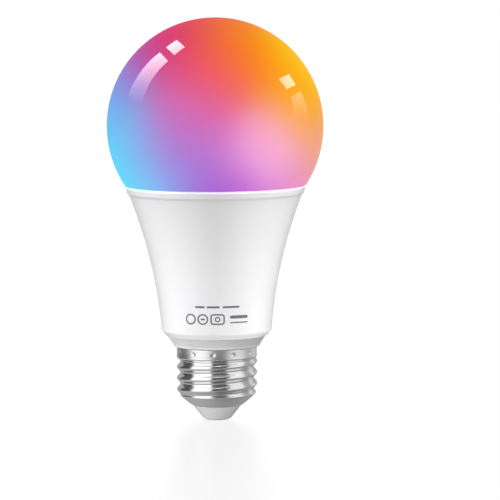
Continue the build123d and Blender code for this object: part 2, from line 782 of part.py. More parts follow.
with BuildPart() as base_collar:
    add(neck_halves)
    with BuildSketch(Plane.XZ):
        Polygon(
            (NECK_BORE_RADIUS, NECK_TOP_Z),
            (12.4, NECK_TOP_Z),
            (12.4, 20.95),
            (BAND_RADIUS - neck_inset, 21.15),
            (BAND_RADIUS - neck_inset, SHELL_RIM_Z + 0.1),
            (13.6, SHELL_RIM_Z + 0.1),
            (14.1, 24.6),
            (CONE_TOP_RADIUS, 27.25),
            (CONE_TOP_RADIUS, CONE_TOP_Z),
            (COLLAR_TUBE_RADIUS, CONE_TOP_Z),
            (COLLAR_TUBE_RADIUS, 29.05),
            (COLLAR_TUBE_RADIUS + 0.4, 29.05),
            (COLLAR_TUBE_RADIUS + 0.4, 29.4),
            (COLLAR_TUBE_RADIUS, 30.2),
            (COLLAR_TUBE_RADIUS, COLLAR_TOP_Z),
            (12.6, COLLAR_TOP_Z),
            (12.6, 27.5),
            (NECK_BORE_RADIUS, 24.5),
            align=None,
        )
    revolve(axis=Axis.Z)
    # Two pairs of ribs that guide the driver board's long edges.
    with BuildSketch(Plane.XY.offset(NECK_LOW_Z + 0.5)):
        with Locations(*[(sx * 8.9, sy * 1.25) for sx in (-1, 1) for sy in (-1, 1)]):
            Rectangle(2.6, 1.1)
    extrude(amount=12.5)
    # The slot that leads the neutral wire up between the neck and the screw shell.
    with BuildSketch(Plane.XY.offset(NECK_LOW_Z)):
        with PolarLocations(11.4, 1, start_angle=LEAD_SLOT_ANGLE):
            Rectangle(2.0, 1.3)
    extrude(amount=6.5, mode=Mode.SUBTRACT)

# ------------------------------------------------------------------ screw shell



def shell_bore(angle, heights):
    """The rolled shell's inside: the same thread, moved in by the sheet's thickness."""
    return thread_curve(angle, heights, SHELL_WALL)


shell_halves = threaded_tube(SHELL_LOW_Z, THREAD_TOP_Z, 0, shell_bore)

with BuildPart() as screw_shell:
    add(shell_halves)
    with BuildSketch(Plane.XZ):
        Polygon(
            (THREAD_CREST_RADIUS - SHELL_WALL + BAND_STEP, THREAD_TOP_Z),
            (THREAD_CREST_RADIUS - BAND_STEP, THREAD_TOP_Z),
            (BAND_RADIUS, THREAD_TOP_Z + 0.25),
            (BAND_RADIUS, SHELL_RIM_Z),
            (BAND_RADIUS - SHELL_WALL, SHELL_RIM_Z),
            (BAND_RADIUS - SHELL_WALL, THREAD_TOP_Z + 0.25),
            align=None,
        )
    revolve(axis=Axis.Z)
    # Shallow round dimples where the band is staked to the collar.
    with Locations(Pos(0, 0, STAKE_Z)):
        with PolarLocations(BAND_RADIUS + 1.8, STAKE_COUNT, start_angle=25):
            Sphere(2.0, mode=Mode.SUBTRACT)

# ------------------------------------------------------------------ insulator and tip contact

with BuildPart() as insulator:
    with BuildSketch(Plane.XZ):
        Polygon(
            (TIP_PIN_RADIUS + 0.05, TIP_HEAD_HEIGHT + 0.02),
            (TIP_RADIUS + 0.05, TIP_HEAD_HEIGHT + 0.02),
            (TIP_RADIUS + 0.05, INSULATOR_LOW_Z),
            (INSULATOR_LOW_RADIUS, INSULATOR_LOW_Z),
            (SHELL_LOW_RADIUS - 0.15, SHELL_LOW_Z - 0.1),
            (SHELL_LOW_RADIUS - 0.6, SHELL_LOW_Z - 0.1),
            (9.3, 6.4),
            (9.3, INSULATOR_TOP_Z),
            (8.3, INSULATOR_TOP_Z),
            (6.0, 5.0),
            (2.6, 4.0),
            (2.6, 6.6),
            (TIP_PIN_RADIUS + 0.05, 6.6),
            align=None,
        )
    revolve(axis=Axis.Z)

with BuildPart() as tip_contact:
    with BuildSketch(Plane.XY):
        Circle(TIP_RADIUS)
    extrude(amount=TIP_HEAD_HEIGHT)
    chamfer(tip_contact.edges().group_by(Axis.Z)[0], length=0.25)
    with BuildSketch(Plane.XY.offset(TIP_HEAD_HEIGHT)):
        Circle(TIP_PIN_RADIUS)
    extrude(amount=TIP_PIN_TOP_Z - TIP_HEAD_HEIGHT)
    with BuildSketch(Plane.XY.offset(TIP_PIN_TOP_Z)):
        Circle(LEAD_RADIUS + 0.05)
    extrude(amount=-2.0, mode=Mode.SUBTRACT)

# ------------------------------------------------------------------ export

pieces = {
    "diffuser": diffuser,
    "adhesive_bead": adhesive_bead,
    "housing_shell": housing_shell,
    "heatsink_cup": heatsink_cup,
    "heatsink_plate": heatsink_plate,
    "thermal_pad": thermal_pad,
    "led_board": led_board,
    "white_led_frames": white_led_frames,
    "cool_white_windows": cool_white_windows,
    "warm_white_windows": warm_white_windows,
    "rgb_led_frames": rgb_led_frames,
    "rgb_led_windows": rgb_led_windows,
    "board_screws": board_screws,
    "radio_board": radio_board,
    "radio_shield": radio_shield,
    "radio_antenna": radio_antenna,
    "radio_pins": radio_pins,
    "radio_pin_spacer": radio_pin_spacer,
    "driver_board": driver_board,
    "header_pins": header_pins,
    "header_body": header_body,
    "capacitor_cans": capacitor_cans,
    "capacitor_sleeves": capacitor_sleeves,
    "film_capacitor": film_capacitor,
    "varistor": varistor,
    "component_leads": component_leads,
    "choke_core": choke_core,
    "choke_winding": choke_winding,
    "transformer_core": transformer_core,
    "transformer_bobbin": transformer_bobbin,
    "transformer_winding": transformer_winding,
    "driver_chips": driver_chips,
    "bridge_rectifier": bridge_rectifier,
    "chip_legs": chip_legs,
    "chip_resistors": chip_resistors,
    "chip_capacitors": chip_capacitors,
    "chip_terminals": chip_terminals,
    "solder_joints": solder_joints,
    "fusible_resistor": fusible_resistor,
    "heat_shrink_sleeve": heat_shrink_sleeve,
    "live_lead": live_lead,
    "neutral_lead": neutral_lead,
    "base_collar": base_collar,
    "screw_shell": screw_shell,
    "insulator": insulator,
    "tip_contact": tip_contact,
}

os.makedirs("parts", exist_ok=True)
for name, piece in pieces.items():
    piece.part.label = name
    export_step(piece.part, f"parts/{name}.step")
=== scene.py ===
from math import asin, ceil, cos, degrees, hypot, pi, radians, sin, sqrt, tan

import bmesh
import bpy
from mathutils import Matrix, Vector


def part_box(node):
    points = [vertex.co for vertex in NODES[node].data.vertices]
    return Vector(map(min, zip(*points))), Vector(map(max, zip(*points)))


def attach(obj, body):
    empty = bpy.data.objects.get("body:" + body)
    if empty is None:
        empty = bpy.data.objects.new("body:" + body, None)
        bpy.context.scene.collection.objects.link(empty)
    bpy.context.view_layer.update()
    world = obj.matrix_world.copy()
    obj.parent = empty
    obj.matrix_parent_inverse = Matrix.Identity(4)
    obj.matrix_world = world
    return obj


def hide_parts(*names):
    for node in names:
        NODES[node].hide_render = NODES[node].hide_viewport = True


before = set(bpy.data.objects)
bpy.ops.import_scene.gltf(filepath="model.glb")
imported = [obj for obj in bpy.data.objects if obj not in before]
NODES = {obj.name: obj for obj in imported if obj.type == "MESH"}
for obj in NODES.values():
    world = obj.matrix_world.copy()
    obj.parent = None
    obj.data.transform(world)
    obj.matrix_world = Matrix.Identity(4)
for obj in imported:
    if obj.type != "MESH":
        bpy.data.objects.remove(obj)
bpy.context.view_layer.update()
ROOT = "root"
MM = 0.001

# -------------------- sizes, in millimetres

# The globe, the seam and the cap, read from the frame.
globe_low, globe_high = (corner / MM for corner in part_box("diffuser"))
housing_low, housing_high = (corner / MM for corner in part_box("housing_shell"))
shell_low, shell_high = (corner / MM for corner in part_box("screw_shell"))

GLOBE_RADIUS = (globe_high.y - globe_low.y) / 2
GLOBE_TOP_Z = globe_high.z
GLOBE_CENTRE_Z = GLOBE_TOP_Z - GLOBE_RADIUS
GLOBE_WALL = 1.1
# The seam looks a touch higher from outside than the CAD's, as the globe's edge sits in the lip.
SEAM_Z = housing_high.z + 0.4
SEAM_RADIUS = sqrt(GLOBE_RADIUS**2 - (GLOBE_CENTRE_Z - SEAM_Z) ** 2)
SKIRT_RADIUS = 26.2
SKIRT_LOW_Z = globe_low.z
SEAM_GAP = 0.03

# The housing's trumpet: a parabola that widens by FLARE_GROWTH from the shoulder to FLARE_HIGH_Z.
SHOULDER_Z = 29.2
SHOULDER_RADIUS = 17.8
FLARE_HIGH_Z = 71.9
FLARE_GROWTH = 9.65
FLARE_LINEAR_SHARE = 0.33
FOOT_Z = housing_low.z
FOOT_RADIUS = 16.4

# The lip above the trumpet, and the inside of the housing.
BAND_LOW_Z = 72.9
LIP_RADIUS = 29.0
SEAT_RADIUS = 27.42
SEAT_Z = 75.15
LINING_RADIUS = 26.3
LINING_HIGH_Z = 71.3
LINING_LOW_Z = 30.4
HOUSING_WALL = 1.3
FOOT_BORE = 14.16
FOOT_FLOOR_Z = 29.0

# The collar: a tube inside the cap, a cone between the cap and the housing, and a plug above it.
TUBE_BORE = 9.9
TUBE_RADIUS = 11.3
TUBE_LOW_Z = 10.5
CONE_RADIUS = 16.0
CONE_HIGH_Z = 27.55
PLUG_RADIUS = 14.1
PLUG_BORE = 12.6
PLUG_HIGH_Z = 30.8

# The screw cap: seven turns to the inch, right-handed, with a plain band above.
THREAD_PITCH = 25.4 / 7
THREAD_CREST_RADIUS = 13.05
THREAD_DEPTH = 1.1
THREAD_CREST_Z = 9.9
THREAD_TOP_Z = 20.9
THREAD_FADE = 1.6
BAND_RADIUS = 12.98
SHELL_LOW_Z = shell_low.z
SHELL_HIGH_Z = shell_high.z
SHELL_LOW_RADIUS = 7.95
SHELL_WALL = 0.4
BAND_BLEND = 0.3
RIM_ROLL = 0.12
RIM_HEIGHT = 0.25

# The stake dimples round the band, and the shape of each.
STAKE_COUNT = 12
STAKE_START = 25.0
STAKE_Z = 22.3
STAKE_RADIUS = 0.8
STAKE_DEPTH = 0.22
STAKE_SLANT = 0.1
STAKE_EDGE = 1.6

# Below the thread the cap draws in along a curve, which meets the thread softly.
DRAW_SLOPE = 1.45
DRAW_BEND = 0.07
DRAW_HEIGHT = 8.0
DRAW_SOFTNESS = 0.5

# The insulator with the contact's seat, and the contact with its hollow pin.
INSULATOR_RADIUS = 9.3
CONTACT_SEAT_RADIUS = 3.85
CONTACT_SEAT_Z = 1.02
CONTACT_RADIUS = 3.8
PIN_RADIUS = 1.2

# The grey marks: how far the ink reaches into the housing and stands off it, half a line's width,
# and half the width of a bar's blunt end.
INK_SUNK = 0.06
INK_PROUD = 0.03
INK_LINE = 0.24
BAR_END = 0.02
DASHES_Z = 38.5
MARKS_Z = 34.5

TURNS = 256

# -------------------- camera

FRAME_WIDTH = 162.1
CAMERA_AIM = Vector((11.0, 0.0, 55.05)) * MM
CAMERA_PLACE = Vector((11.0, -1100.0, 157.05)) * MM
CAMERA_ROLL = -0.39

camera_data = bpy.data.cameras.new("camera")
camera = bpy.data.objects.new("camera", camera_data)
bpy.context.scene.collection.objects.link(camera)
line_of_sight = CAMERA_AIM - CAMERA_PLACE
camera.location = CAMERA_PLACE
camera.rotation_mode = "QUATERNION"
camera.rotation_quaternion = (
    line_of_sight.to_track_quat("-Z", "Y") @ Matrix.Rotation(radians(CAMERA_ROLL), 3, "Z").to_quaternion()
)
camera_data.sensor_width = 36.0
camera_data.lens = camera_data.sensor_width * line_of_sight.length / (FRAME_WIDTH * MM)
camera_data.clip_start = 0.05
camera_data.clip_end = 50.0
bpy.context.scene.camera = camera

bpy.context.scene.view_settings.view_transform = "Standard"
bpy.context.scene.view_settings.look = "None"


# -------------------- mesh tools


def add_object(name, mesh):
    """Links a new mesh object to the scene."""
    obj = bpy.data.objects.new(name, mesh)
    bpy.context.scene.collection.objects.link(obj)
    return obj


def object_of(bm, name):
    """Turns a finished bmesh into a linked object."""
    mesh = bpy.data.meshes.new(name)
    bm.to_mesh(mesh)
    bm.free()
    return add_object(name, mesh)


def smooth(obj, sharp_angle=38.0):
    """Smooth shading with sharp edges above an angle, and normals weighted towards the large faces."""
    obj.data.shade_smooth()
    obj.data.set_sharp_from_angle(angle=radians(sharp_angle))
    weighted = obj.modifiers.new("weighted", "WEIGHTED_NORMAL")
    weighted.keep_sharp = True
    return obj


def rounded(corners, steps=5):
    """An outline through corners of (radius, z) or (radius, z, fillet), with each fillet as an arc."""
    outline = []
    count = len(corners)
    for i, corner in enumerate(corners):
        here = Vector(corner[:2])
        fillet = corner[2] if len(corner) > 2 else 0.0
        if not fillet:
            outline.append(tuple(here))
            continue
        to_last = (Vector(corners[i - 1][:2]) - here).normalized()
        to_next = (Vector(corners[(i + 1) % count][:2]) - here).normalized()
        half = to_last.angle(to_next) / 2
        reach = fillet / tan(half)
        centre = here + (to_last + to_next).normalized() * (fillet / sin(half))
        start = here + to_last * reach - centre
        end = here + to_next * reach - centre
        sweep = start.angle_signed(end)
        for step in range(steps + 1):
            turn = Matrix.Rotation(-sweep * step / steps, 2)
            outline.append(tuple(centre + turn @ start))
    return outline


def arc(centre_z, radius, start, end, steps):
    """Points of a circle about the point (0, centre_z), between two angles in degrees from the horizon."""
    turns = [radians(start + (end - start) * i / steps) for i in range(steps + 1)]
    return [(radius * cos(turn), centre_z + radius * sin(turn)) for turn in turns]


def lathe(name, outline, turns=TURNS):
    """Turns an outline of (radius, z) in millimetres about the Z axis into one closed mesh.

    An outline that begins and ends on the axis makes a solid body. Any other is a closed loop.
    """
    bm = bmesh.new()
    rings = []
    for radius, z in outline:
        if abs(radius) < 1e-6:
            rings.append([bm.verts.new((0, 0, z * MM))])
            continue
        ring = []
        for i in range(turns):
            angle = 2 * pi * i / turns
            ring.append(bm.verts.new((radius * cos(angle) * MM, radius * sin(angle) * MM, z * MM)))
        rings.append(ring)
    pairs = list(zip(rings, rings[1:]))
    if len(rings[0]) > 1:
        pairs.append((rings[-1], rings[0]))
    for low, high in pairs:
        for i in range(turns):
            j = (i + 1) % turns
            corners = [low[i % len(low)], low[j % len(low)], high[j % len(high)], high[i % len(high)]]
            unique = list(dict.fromkeys(corners))
            if len(unique) > 2:
                bm.faces.new(unique)
    bmesh.ops.recalc_face_normals(bm, faces=bm.faces)
    return smooth(object_of(bm, name))


def direction(azimuth, elevation):
    """A unit vector out from the bulb: azimuth from the front towards +X, and both in degrees."""
    turn, rise = radians(azimuth), radians(elevation)
    return Vector((sin(turn) * cos(rise), -cos(turn) * cos(rise), sin(rise)))


def flare_radius(z):
    """Outer radius of the housing's trumpet at a height."""
    rise = (z - SHOULDER_Z) / (FLARE_HIGH_Z - SHOULDER_Z)
    return SHOULDER_RADIUS + FLARE_GROWTH * (FLARE_LINEAR_SHARE * rise + (1 - FLARE_LINEAR_SHARE) * rise**2)


def flare(low_z, high_z, inset=0.0, steps=36):
    """Points of the trumpet between two heights, moved in by inset."""
    heights = [low_z + (high_z - low_z) * i / steps for i in range(steps + 1)]
    return [(flare_radius(z) - inset, z) for z in heights]


def smooth_step(share):
    """0 below 0, 1 above 1, and a soft S between."""
    share = min(1.0, max(0.0, share))
    return share * share * (3 - 2 * share)


def thread_radius(angle, z):
    """Radius of the rolled thread at an angle in degrees and a height."""
    turns = (z - THREAD_CREST_Z) / THREAD_PITCH - (angle - 180) / 360
    wave = (1 - cos(2 * pi * turns)) / 2
    fade = smooth_step((THREAD_TOP_Z - z) / THREAD_FADE)
    threaded = THREAD_CREST_RADIUS - THREAD_DEPTH * wave * fade
    rise = min(z - SHELL_LOW_Z, DRAW_HEIGHT)
    drawn = SHELL_LOW_RADIUS + DRAW_SLOPE * rise - DRAW_BEND * rise**2
    overlap = max(DRAW_SOFTNESS - abs(threaded - drawn), 0) / DRAW_SOFTNESS
    return min(threaded, drawn) - overlap**2 * DRAW_SOFTNESS / 4


def cap_radius(angle, z, inset):
    """Radius of the cap's outer face, or of its inner face where inset is the sheet's thickness."""
    radius = thread_radius(angle, z)
    if z > THREAD_TOP_Z:
        blend = smooth_step((z - THREAD_TOP_Z) / BAND_BLEND)
        radius = THREAD_CREST_RADIUS + (BAND_RADIUS - THREAD_CREST_RADIUS) * blend
    spacing = 360 / STAKE_COUNT
    off_stake = (angle - STAKE_START + spacing / 2) % spacing - spacing / 2
    across = radians(off_stake) * BAND_RADIUS
    away = hypot(across, z - STAKE_Z - STAKE_SLANT * across) / STAKE_RADIUS
    if away < 1 and not inset:
        radius -= STAKE_DEPTH * smooth_step((1 - away) * STAKE_EDGE)
    # The sheet's two rims are rolled over, not square.
    rim = min(z - SHELL_LOW_Z, SHELL_HIGH_Z - z)
    radius += (RIM_ROLL if inset else -RIM_ROLL) * (1 - smooth_step(rim / RIM_HEIGHT))
    return radius - inset


# -------------------- material tools


def colour_ramp(tree, source, stops):
    """A colour ramp of (place, colour) stops."""
    made = tree.nodes.new("ShaderNodeValToRGB")
    elements = made.color_ramp.elements
    while len(elements) < len(stops):
        elements.new(0.5)
    for element, (position, colour) in zip(elements, stops):
        element.position = position
        element.color = (*colour, 1.0)
    tree.links.new(source, made.inputs["Fac"])
    return made.outputs["Color"]


class Shader:
    """A node material on one Principled shader, with short calls for what the materials share."""

    def __init__(self, name):
        self.material = bpy.data.materials.new(name)
        self.material.use_nodes = True
        self.tree = self.material.node_tree
        self.bsdf = self.tree.nodes["Principled BSDF"]
        self.place = self.node("ShaderNodeTexCoord").outputs["Object"]

    def node(self, kind, **settings):
        made = self.tree.nodes.new(kind)
        for key, value in settings.items():
            setattr(made, key, value)
        return made

    def link(self, source, target):
        self.tree.links.new(source, target)

    def set(self, **values):
        """Sets the shader's own sockets, such as coat_weight=1.0."""
        for key, value in values.items():
            self.bsdf.inputs[key.replace("_", " ").title().replace("Ior", "IOR")].default_value = value
        return self

    def noise(self, scale, detail=3.0, roughness=0.5, stretch=(1, 1, 1)):
        """A noise over the object, with scale in waves per metre."""
        mapping = self.node("ShaderNodeMapping")
        mapping.inputs["Scale"].default_value = stretch
        self.link(self.place, mapping.inputs["Vector"])
        made = self.node("ShaderNodeTexNoise")
        made.inputs["Scale"].default_value = scale
        made.inputs["Detail"].default_value = detail
        made.inputs["Roughness"].default_value = roughness
        self.link(mapping.outputs["Vector"], made.inputs["Vector"])
        return made.outputs["Fac"]

    def waves(self, scale, axis="Z", distortion=0.0):
        """Parallel waves across an axis, with scale in waves per metre."""
        made = self.node("ShaderNodeTexWave", bands_direction=axis)
        made.inputs["Scale"].default_value = scale / 3.0
        made.inputs["Distortion"].default_value = distortion
        self.link(self.place, made.inputs["Vector"])
        return made.outputs["Fac"]

    def ramp(self, source, stops):
        return colour_ramp(self.tree, source, stops)

    def span(self, source, low, high):
        """Maps 0.3 to 0.7 of a noise onto low to high."""
        made = self.node("ShaderNodeMapRange")
        made.inputs["From Min"].default_value = 0.3
        made.inputs["From Max"].default_value = 0.7
        made.inputs["To Min"].default_value = low
        made.inputs["To Max"].default_value = high
        self.link(source, made.inputs["Value"])
        return made.outputs["Result"]

    def colour(self, source):
        self.link(source, self.bsdf.inputs["Base Color"])
        return self

    def rough(self, source):
        self.link(source, self.bsdf.inputs["Roughness"])
        return self

    def bump(self, source, depth_mm, strength=1.0):
        """Bumps the surface by a depth, on top of any bump that is there already."""
        made = self.node("ShaderNodeBump")
        made.inputs["Strength"].default_value = strength
        made.inputs["Distance"].default_value = depth_mm * MM
        self.link(source, made.inputs["Height"])
        normal = self.bsdf.inputs["Normal"]
        if normal.is_linked:
            self.link(normal.links[0].from_socket, made.inputs["Normal"])
        self.link(made.outputs["Normal"], normal)
        return self

    def tinted(self, source, colour, spread):
        """Colours the surface with a shade that varies by a share either way along a noise."""
        dark = tuple(channel * (1 - spread) for channel in colour)
        light = tuple(min(1.0, channel * (1 + spread)) for channel in colour)
        return self.colour(self.ramp(source, [(0.3, dark), (0.7, light)]))


def wear(obj, shader):
    """Gives an object one material."""
    obj.data.materials.clear()
    obj.data.materials.append(shader.material)


def moulded(name, colour, roughness=0.42, grain=5000, spread=0.04, depth=0.006, coat=0.0):
    """Moulded plastic: a fine grain, faint flow marks and a slightly uneven gloss."""
    look = Shader(name)
    look.tinted(look.noise(grain / 12, 4), colour, spread)
    look.rough(look.span(look.noise(grain / 6, 3), roughness - 0.07, roughness + 0.07))
    look.bump(look.noise(grain, 2), depth)
    return look.set(coat_weight=coat)


def sheet_metal(name, colour, roughness=0.28, stretch=(1, 1, 14), scale=1400, depth=0.003):
    """Rolled or drawn sheet: fine lines one way, with an uneven polish."""
    look = Shader(name)
    look.tinted(look.noise(scale / 5, 5, stretch=stretch), colour, 0.06)
    look.rough(look.span(look.noise(scale, 4, stretch=stretch), roughness - 0.08, roughness + 0.1))
    look.bump(look.noise(scale * 2, 2, stretch=stretch), depth)
    return look.set(metallic=1.0)


# -------------------- materials of the outside

# The coloured lights inside the globe: azimuth from the front towards +X and
# elevation, both in degrees, then how tight the light's patch is, and its colour as the eye sees it.
GLOW = {
    "cyan": (-75, -25, 12, (0.35, 0.9, 1.0)),
    "periwinkle": (-40, -30, 12, (0.5, 0.8, 1.0)),
    "violet": (5, -40, 12, (0.65, 0.3, 0.8)),
    "orchid": (60, -40, 12, (0.9, 0.55, 0.85)),
    "sky": (-75, 5, 12, (0.35, 0.75, 0.95)),
    "blue": (-50, -5, 12, (0.5, 0.75, 0.95)),
    "lilac": (-20, -10, 12, (0.65, 0.45, 0.85)),
    "rose": (-15, 10, 12, (0.9, 0.4, 0.7)),
    "pink": (30, -10, 12, (1.0, 0.7, 0.9)),
    "peach": (75, -10, 12, (0.95, 0.65, 0.5)),
    "mauve": (-65, 30, 12, (0.6, 0.5, 0.9)),
    "coral": (0, 35, 12, (0.95, 0.3, 0.4)),
    "amber": (55, 20, 12, (1.0, 0.65, 0.1)),
    "magenta": (-40, 50, 12, (0.85, 0.2, 0.45)),
    "orange": (25, 45, 12, (1.0, 0.55, 0.05)),
    "yellow": (75, 40, 12, (1.0, 0.85, 0.0)),
    "crimson": (-75, 65, 12, (0.9, 0.15, 0.4)),
    "flame": (15, 75, 12, (0.95, 0.5, 0.2)),
    "back blue": (-125, -10, 7, (0.35, 0.75, 0.95)),
    "back purple": (-135, 40, 7, (0.6, 0.35, 0.8)),
    "back violet": (180, -20, 7, (0.6, 0.5, 0.9)),
    "back red": (170, 50, 7, (0.95, 0.25, 0.4)),
    "back pink": (125, -15, 7, (0.95, 0.6, 0.75)),
    "back orange": (125, 35, 7, (1.0, 0.65, 0.1)),
}


def glow_colour(look):
    """The colour of the light behind a point of the globe: every patch, weighted by how near it is."""
    centre = look.node("ShaderNodeVectorMath", operation="SUBTRACT")
    centre.inputs[1].default_value = (0, 0, GLOBE_CENTRE_Z * MM)
    look.link(look.place, centre.inputs[0])
    outward = look.node("ShaderNodeVectorMath", operation="NORMALIZE")
    look.link(centre.outputs["Vector"], outward.inputs[0])
    total = None
    weights = None
    for azimuth, elevation, tightness, colour in GLOW.values():
        near = look.node("ShaderNodeVectorMath", operation="DOT_PRODUCT")
        near.inputs[1].default_value = direction(azimuth, elevation)
        look.link(outward.outputs["Vector"], near.inputs[0])
        scaled = look.node("ShaderNodeMath", operation="MULTIPLY_ADD")
        scaled.inputs[1].default_value = tightness
        scaled.inputs[2].default_value = -tightness
        look.link(near.outputs["Value"], scaled.inputs[0])
        weight = look.node("ShaderNodeMath", operation="EXPONENT")
        look.link(scaled.outputs["Value"], weight.inputs[0])
        share = look.node("ShaderNodeVectorMath", operation="MULTIPLY_ADD")
        share.inputs[1].default_value = colour
        share.inputs[2].default_value = (0, 0, 0)
        look.link(weight.outputs["Value"], share.inputs[0])
        added = look.node("ShaderNodeMath", operation="ADD")
        added.inputs[1].default_value = 0.0
        look.link(weight.outputs["Value"], added.inputs[0])
        if total is not None:
            look.link(total, share.inputs[2])
            look.link(weights, added.inputs[1])
        total, weights = share.outputs["Vector"], added.outputs["Value"]
    mean = look.node("ShaderNodeVectorMath", operation="DIVIDE")
    look.link(total, mean.inputs[0])
    look.link(weights, mean.inputs[1])
    seen = look.node("ShaderNodeGamma")
    seen.inputs["Gamma"].default_value = 2.2
    look.link(mean.outputs["Vector"], seen.inputs["Color"])
    return seen.outputs["Color"]


def globe_material():
    """Milky plastic, lit from inside by lights of many colours, under a glossy skin."""
    look = Shader("globe_glow")
    glow = glow_colour(look)
    # The moulding lets a little more light through in some places than in others.
    cloud = look.node("ShaderNodeMixRGB", blend_type="MULTIPLY")
    cloud.inputs["Fac"].default_value = 1.0
    look.link(glow, cloud.inputs["Color1"])
    cloudy = look.ramp(look.noise(60, 2), [(0.3, (0.97, 0.97, 0.97)), (0.7, (1.0, 1.0, 1.0))])
    look.link(cloudy, cloud.inputs["Color2"])
    look.link(cloud.outputs["Color"], look.bsdf.inputs["Emission Color"])
    # The base colour is painted light too: the glow's colours, a little whitened and dimmed, stand in for
    # the lights inside.
    skin = look.node("ShaderNodeMixRGB", blend_type="MIX")
    skin.inputs["Fac"].default_value = 0.12
    skin.inputs["Color2"].default_value = (0.9, 0.9, 0.9, 1)
    look.link(cloud.outputs["Color"], skin.inputs["Color1"])
    dim = look.node("ShaderNodeMixRGB", blend_type="MULTIPLY")
    dim.inputs["Fac"].default_value = 1.0
    dim.inputs["Color2"].default_value = (0.25, 0.25, 0.25, 1)
    look.link(skin.outputs["Color"], dim.inputs["Color1"])
    look.colour(dim.outputs["Color"])
    look.rough(look.span(look.noise(300, 3), 0.015, 0.03))
    look.bump(look.noise(120, 2), 0.001)
    return look.set(emission_strength=0.97, specular_ior_level=0.5)


def housing_material():
    """White satin plastic with the finest of moulded grain."""
    look = Shader("housing_satin_white")
    look.tinted(look.noise(45, 3), (0.86, 0.86, 0.87), 0.012)
    look.rough(look.span(look.noise(700, 4), 0.33, 0.41))
    look.bump(look.noise(7000, 2), 0.003)
    look.bump(look.noise(160, 2), 0.004)
    return look.set(specular_ior_level=0.5, coat_weight=0.15, coat_roughness=0.25)


def cap_material():
    """Bright nickel on rolled sheet: faint rolling lines round the cap and a few dull patches."""
    look = Shader("cap_nickel")
    look.tinted(look.noise(260, 5, stretch=(0.25, 0.25, 3)), (0.8, 0.8, 0.8), 0.05)
    # The thread is polished by rolling. The plain band above it and the cone below it stay satin.
    height = look.node("ShaderNodeSeparateXYZ")
    look.link(look.place, height.inputs["Vector"])
    level = look.node("ShaderNodeMapRange")
    level.inputs["From Max"].default_value = SHELL_HIGH_Z * MM
    look.link(height.outputs["Z"], level.inputs["Value"])
    stops = [(7.6, 0.32), (9.0, 0.0), (THREAD_TOP_Z - 0.6, 0.0), (THREAD_TOP_Z + 0.3, 0.21)]
    satin = look.ramp(level.outputs["Result"], [(z / SHELL_HIGH_Z, (extra,) * 3) for z, extra in stops])
    gloss = look.span(look.noise(420, 5, 0.6, stretch=(0.3, 0.3, 2)), 0.12, 0.2)
    both = look.node("ShaderNodeMath", operation="ADD")
    look.link(gloss, both.inputs[0])
    look.link(satin, both.inputs[1])
    look.rough(both.outputs["Value"])
    look.bump(look.noise(900, 3, stretch=(0.15, 0.15, 5)), 0.003)
    return look.set(metallic=1.0)


def insulator_material():
    """Glazed light grey ceramic, clouded and faintly speckled."""
    look = Shader("insulator_glaze")
    speckles = [(0.25, (0.6, 0.6, 0.6)), (0.4, (0.78, 0.78, 0.78)), (0.8, (0.84, 0.84, 0.83))]
    look.colour(look.ramp(look.noise(900, 6, 0.7), speckles))
    look.rough(look.span(look.noise(500, 3), 0.25, 0.4))
    look.bump(look.noise(1500, 3), 0.01)
    return look.set(coat_weight=0.4, coat_roughness=0.1)


def contact_material():
    """Nickel on brass, rubbed and finely scratched where the lampholder's spring presses."""
    look = Shader("contact_nickel")
    look.tinted(look.noise(700, 6, 0.65), (0.7, 0.68, 0.64), 0.12)
    look.rough(look.span(look.noise(2500, 4, stretch=(1, 6, 1)), 0.18, 0.42))
    look.bump(look.noise(3500, 3, stretch=(1, 8, 1)), 0.006)
    return look.set(metallic=1.0)


# -------------------- pieces of the outside


def finish_piece(obj, shader, slot, *replaced):
    """Dresses a piece, rides it on the bulb and lets it stand for its CAD nodes, if it has any."""
    wear(obj, shader)
    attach(obj, ROOT)
    if replaced:
        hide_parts(*replaced)


def make_globe():
    """The milky globe, its floor ring at the seam and its skirt inside the housing."""
    seam_angle = degrees(asin((SEAM_Z - GLOBE_CENTRE_Z) / GLOBE_RADIUS))
    inner_radius = GLOBE_RADIUS - GLOBE_WALL
    shelf_angle = degrees(asin((SEAM_Z + GLOBE_WALL - GLOBE_CENTRE_Z) / inner_radius))
    outside = arc(GLOBE_CENTRE_Z, GLOBE_RADIUS, 90, seam_angle + 0.25, 110)
    outside[0] = (0.0, GLOBE_TOP_Z)
    inside = arc(GLOBE_CENTRE_Z, inner_radius, shelf_angle, 90, 60)
    inside[-1] = (0.0, GLOBE_CENTRE_Z + inner_radius)
    ring = rounded([
        (SEAM_RADIUS - 0.12, SEAM_Z + SEAM_GAP),
        (SKIRT_RADIUS, SEAM_Z + SEAM_GAP, 0.2),
        (SKIRT_RADIUS, SKIRT_LOW_Z, 0.25),
        (SKIRT_RADIUS - GLOBE_WALL, SKIRT_LOW_Z, 0.25),
        (SKIRT_RADIUS - GLOBE_WALL, SEAM_Z + GLOBE_WALL, 0.3),
        inside[0],
    ])
    globe = lathe("globe", outside + ring[:-1] + inside)
    finish_piece(globe, globe_material(), "diffuser", "diffuser")


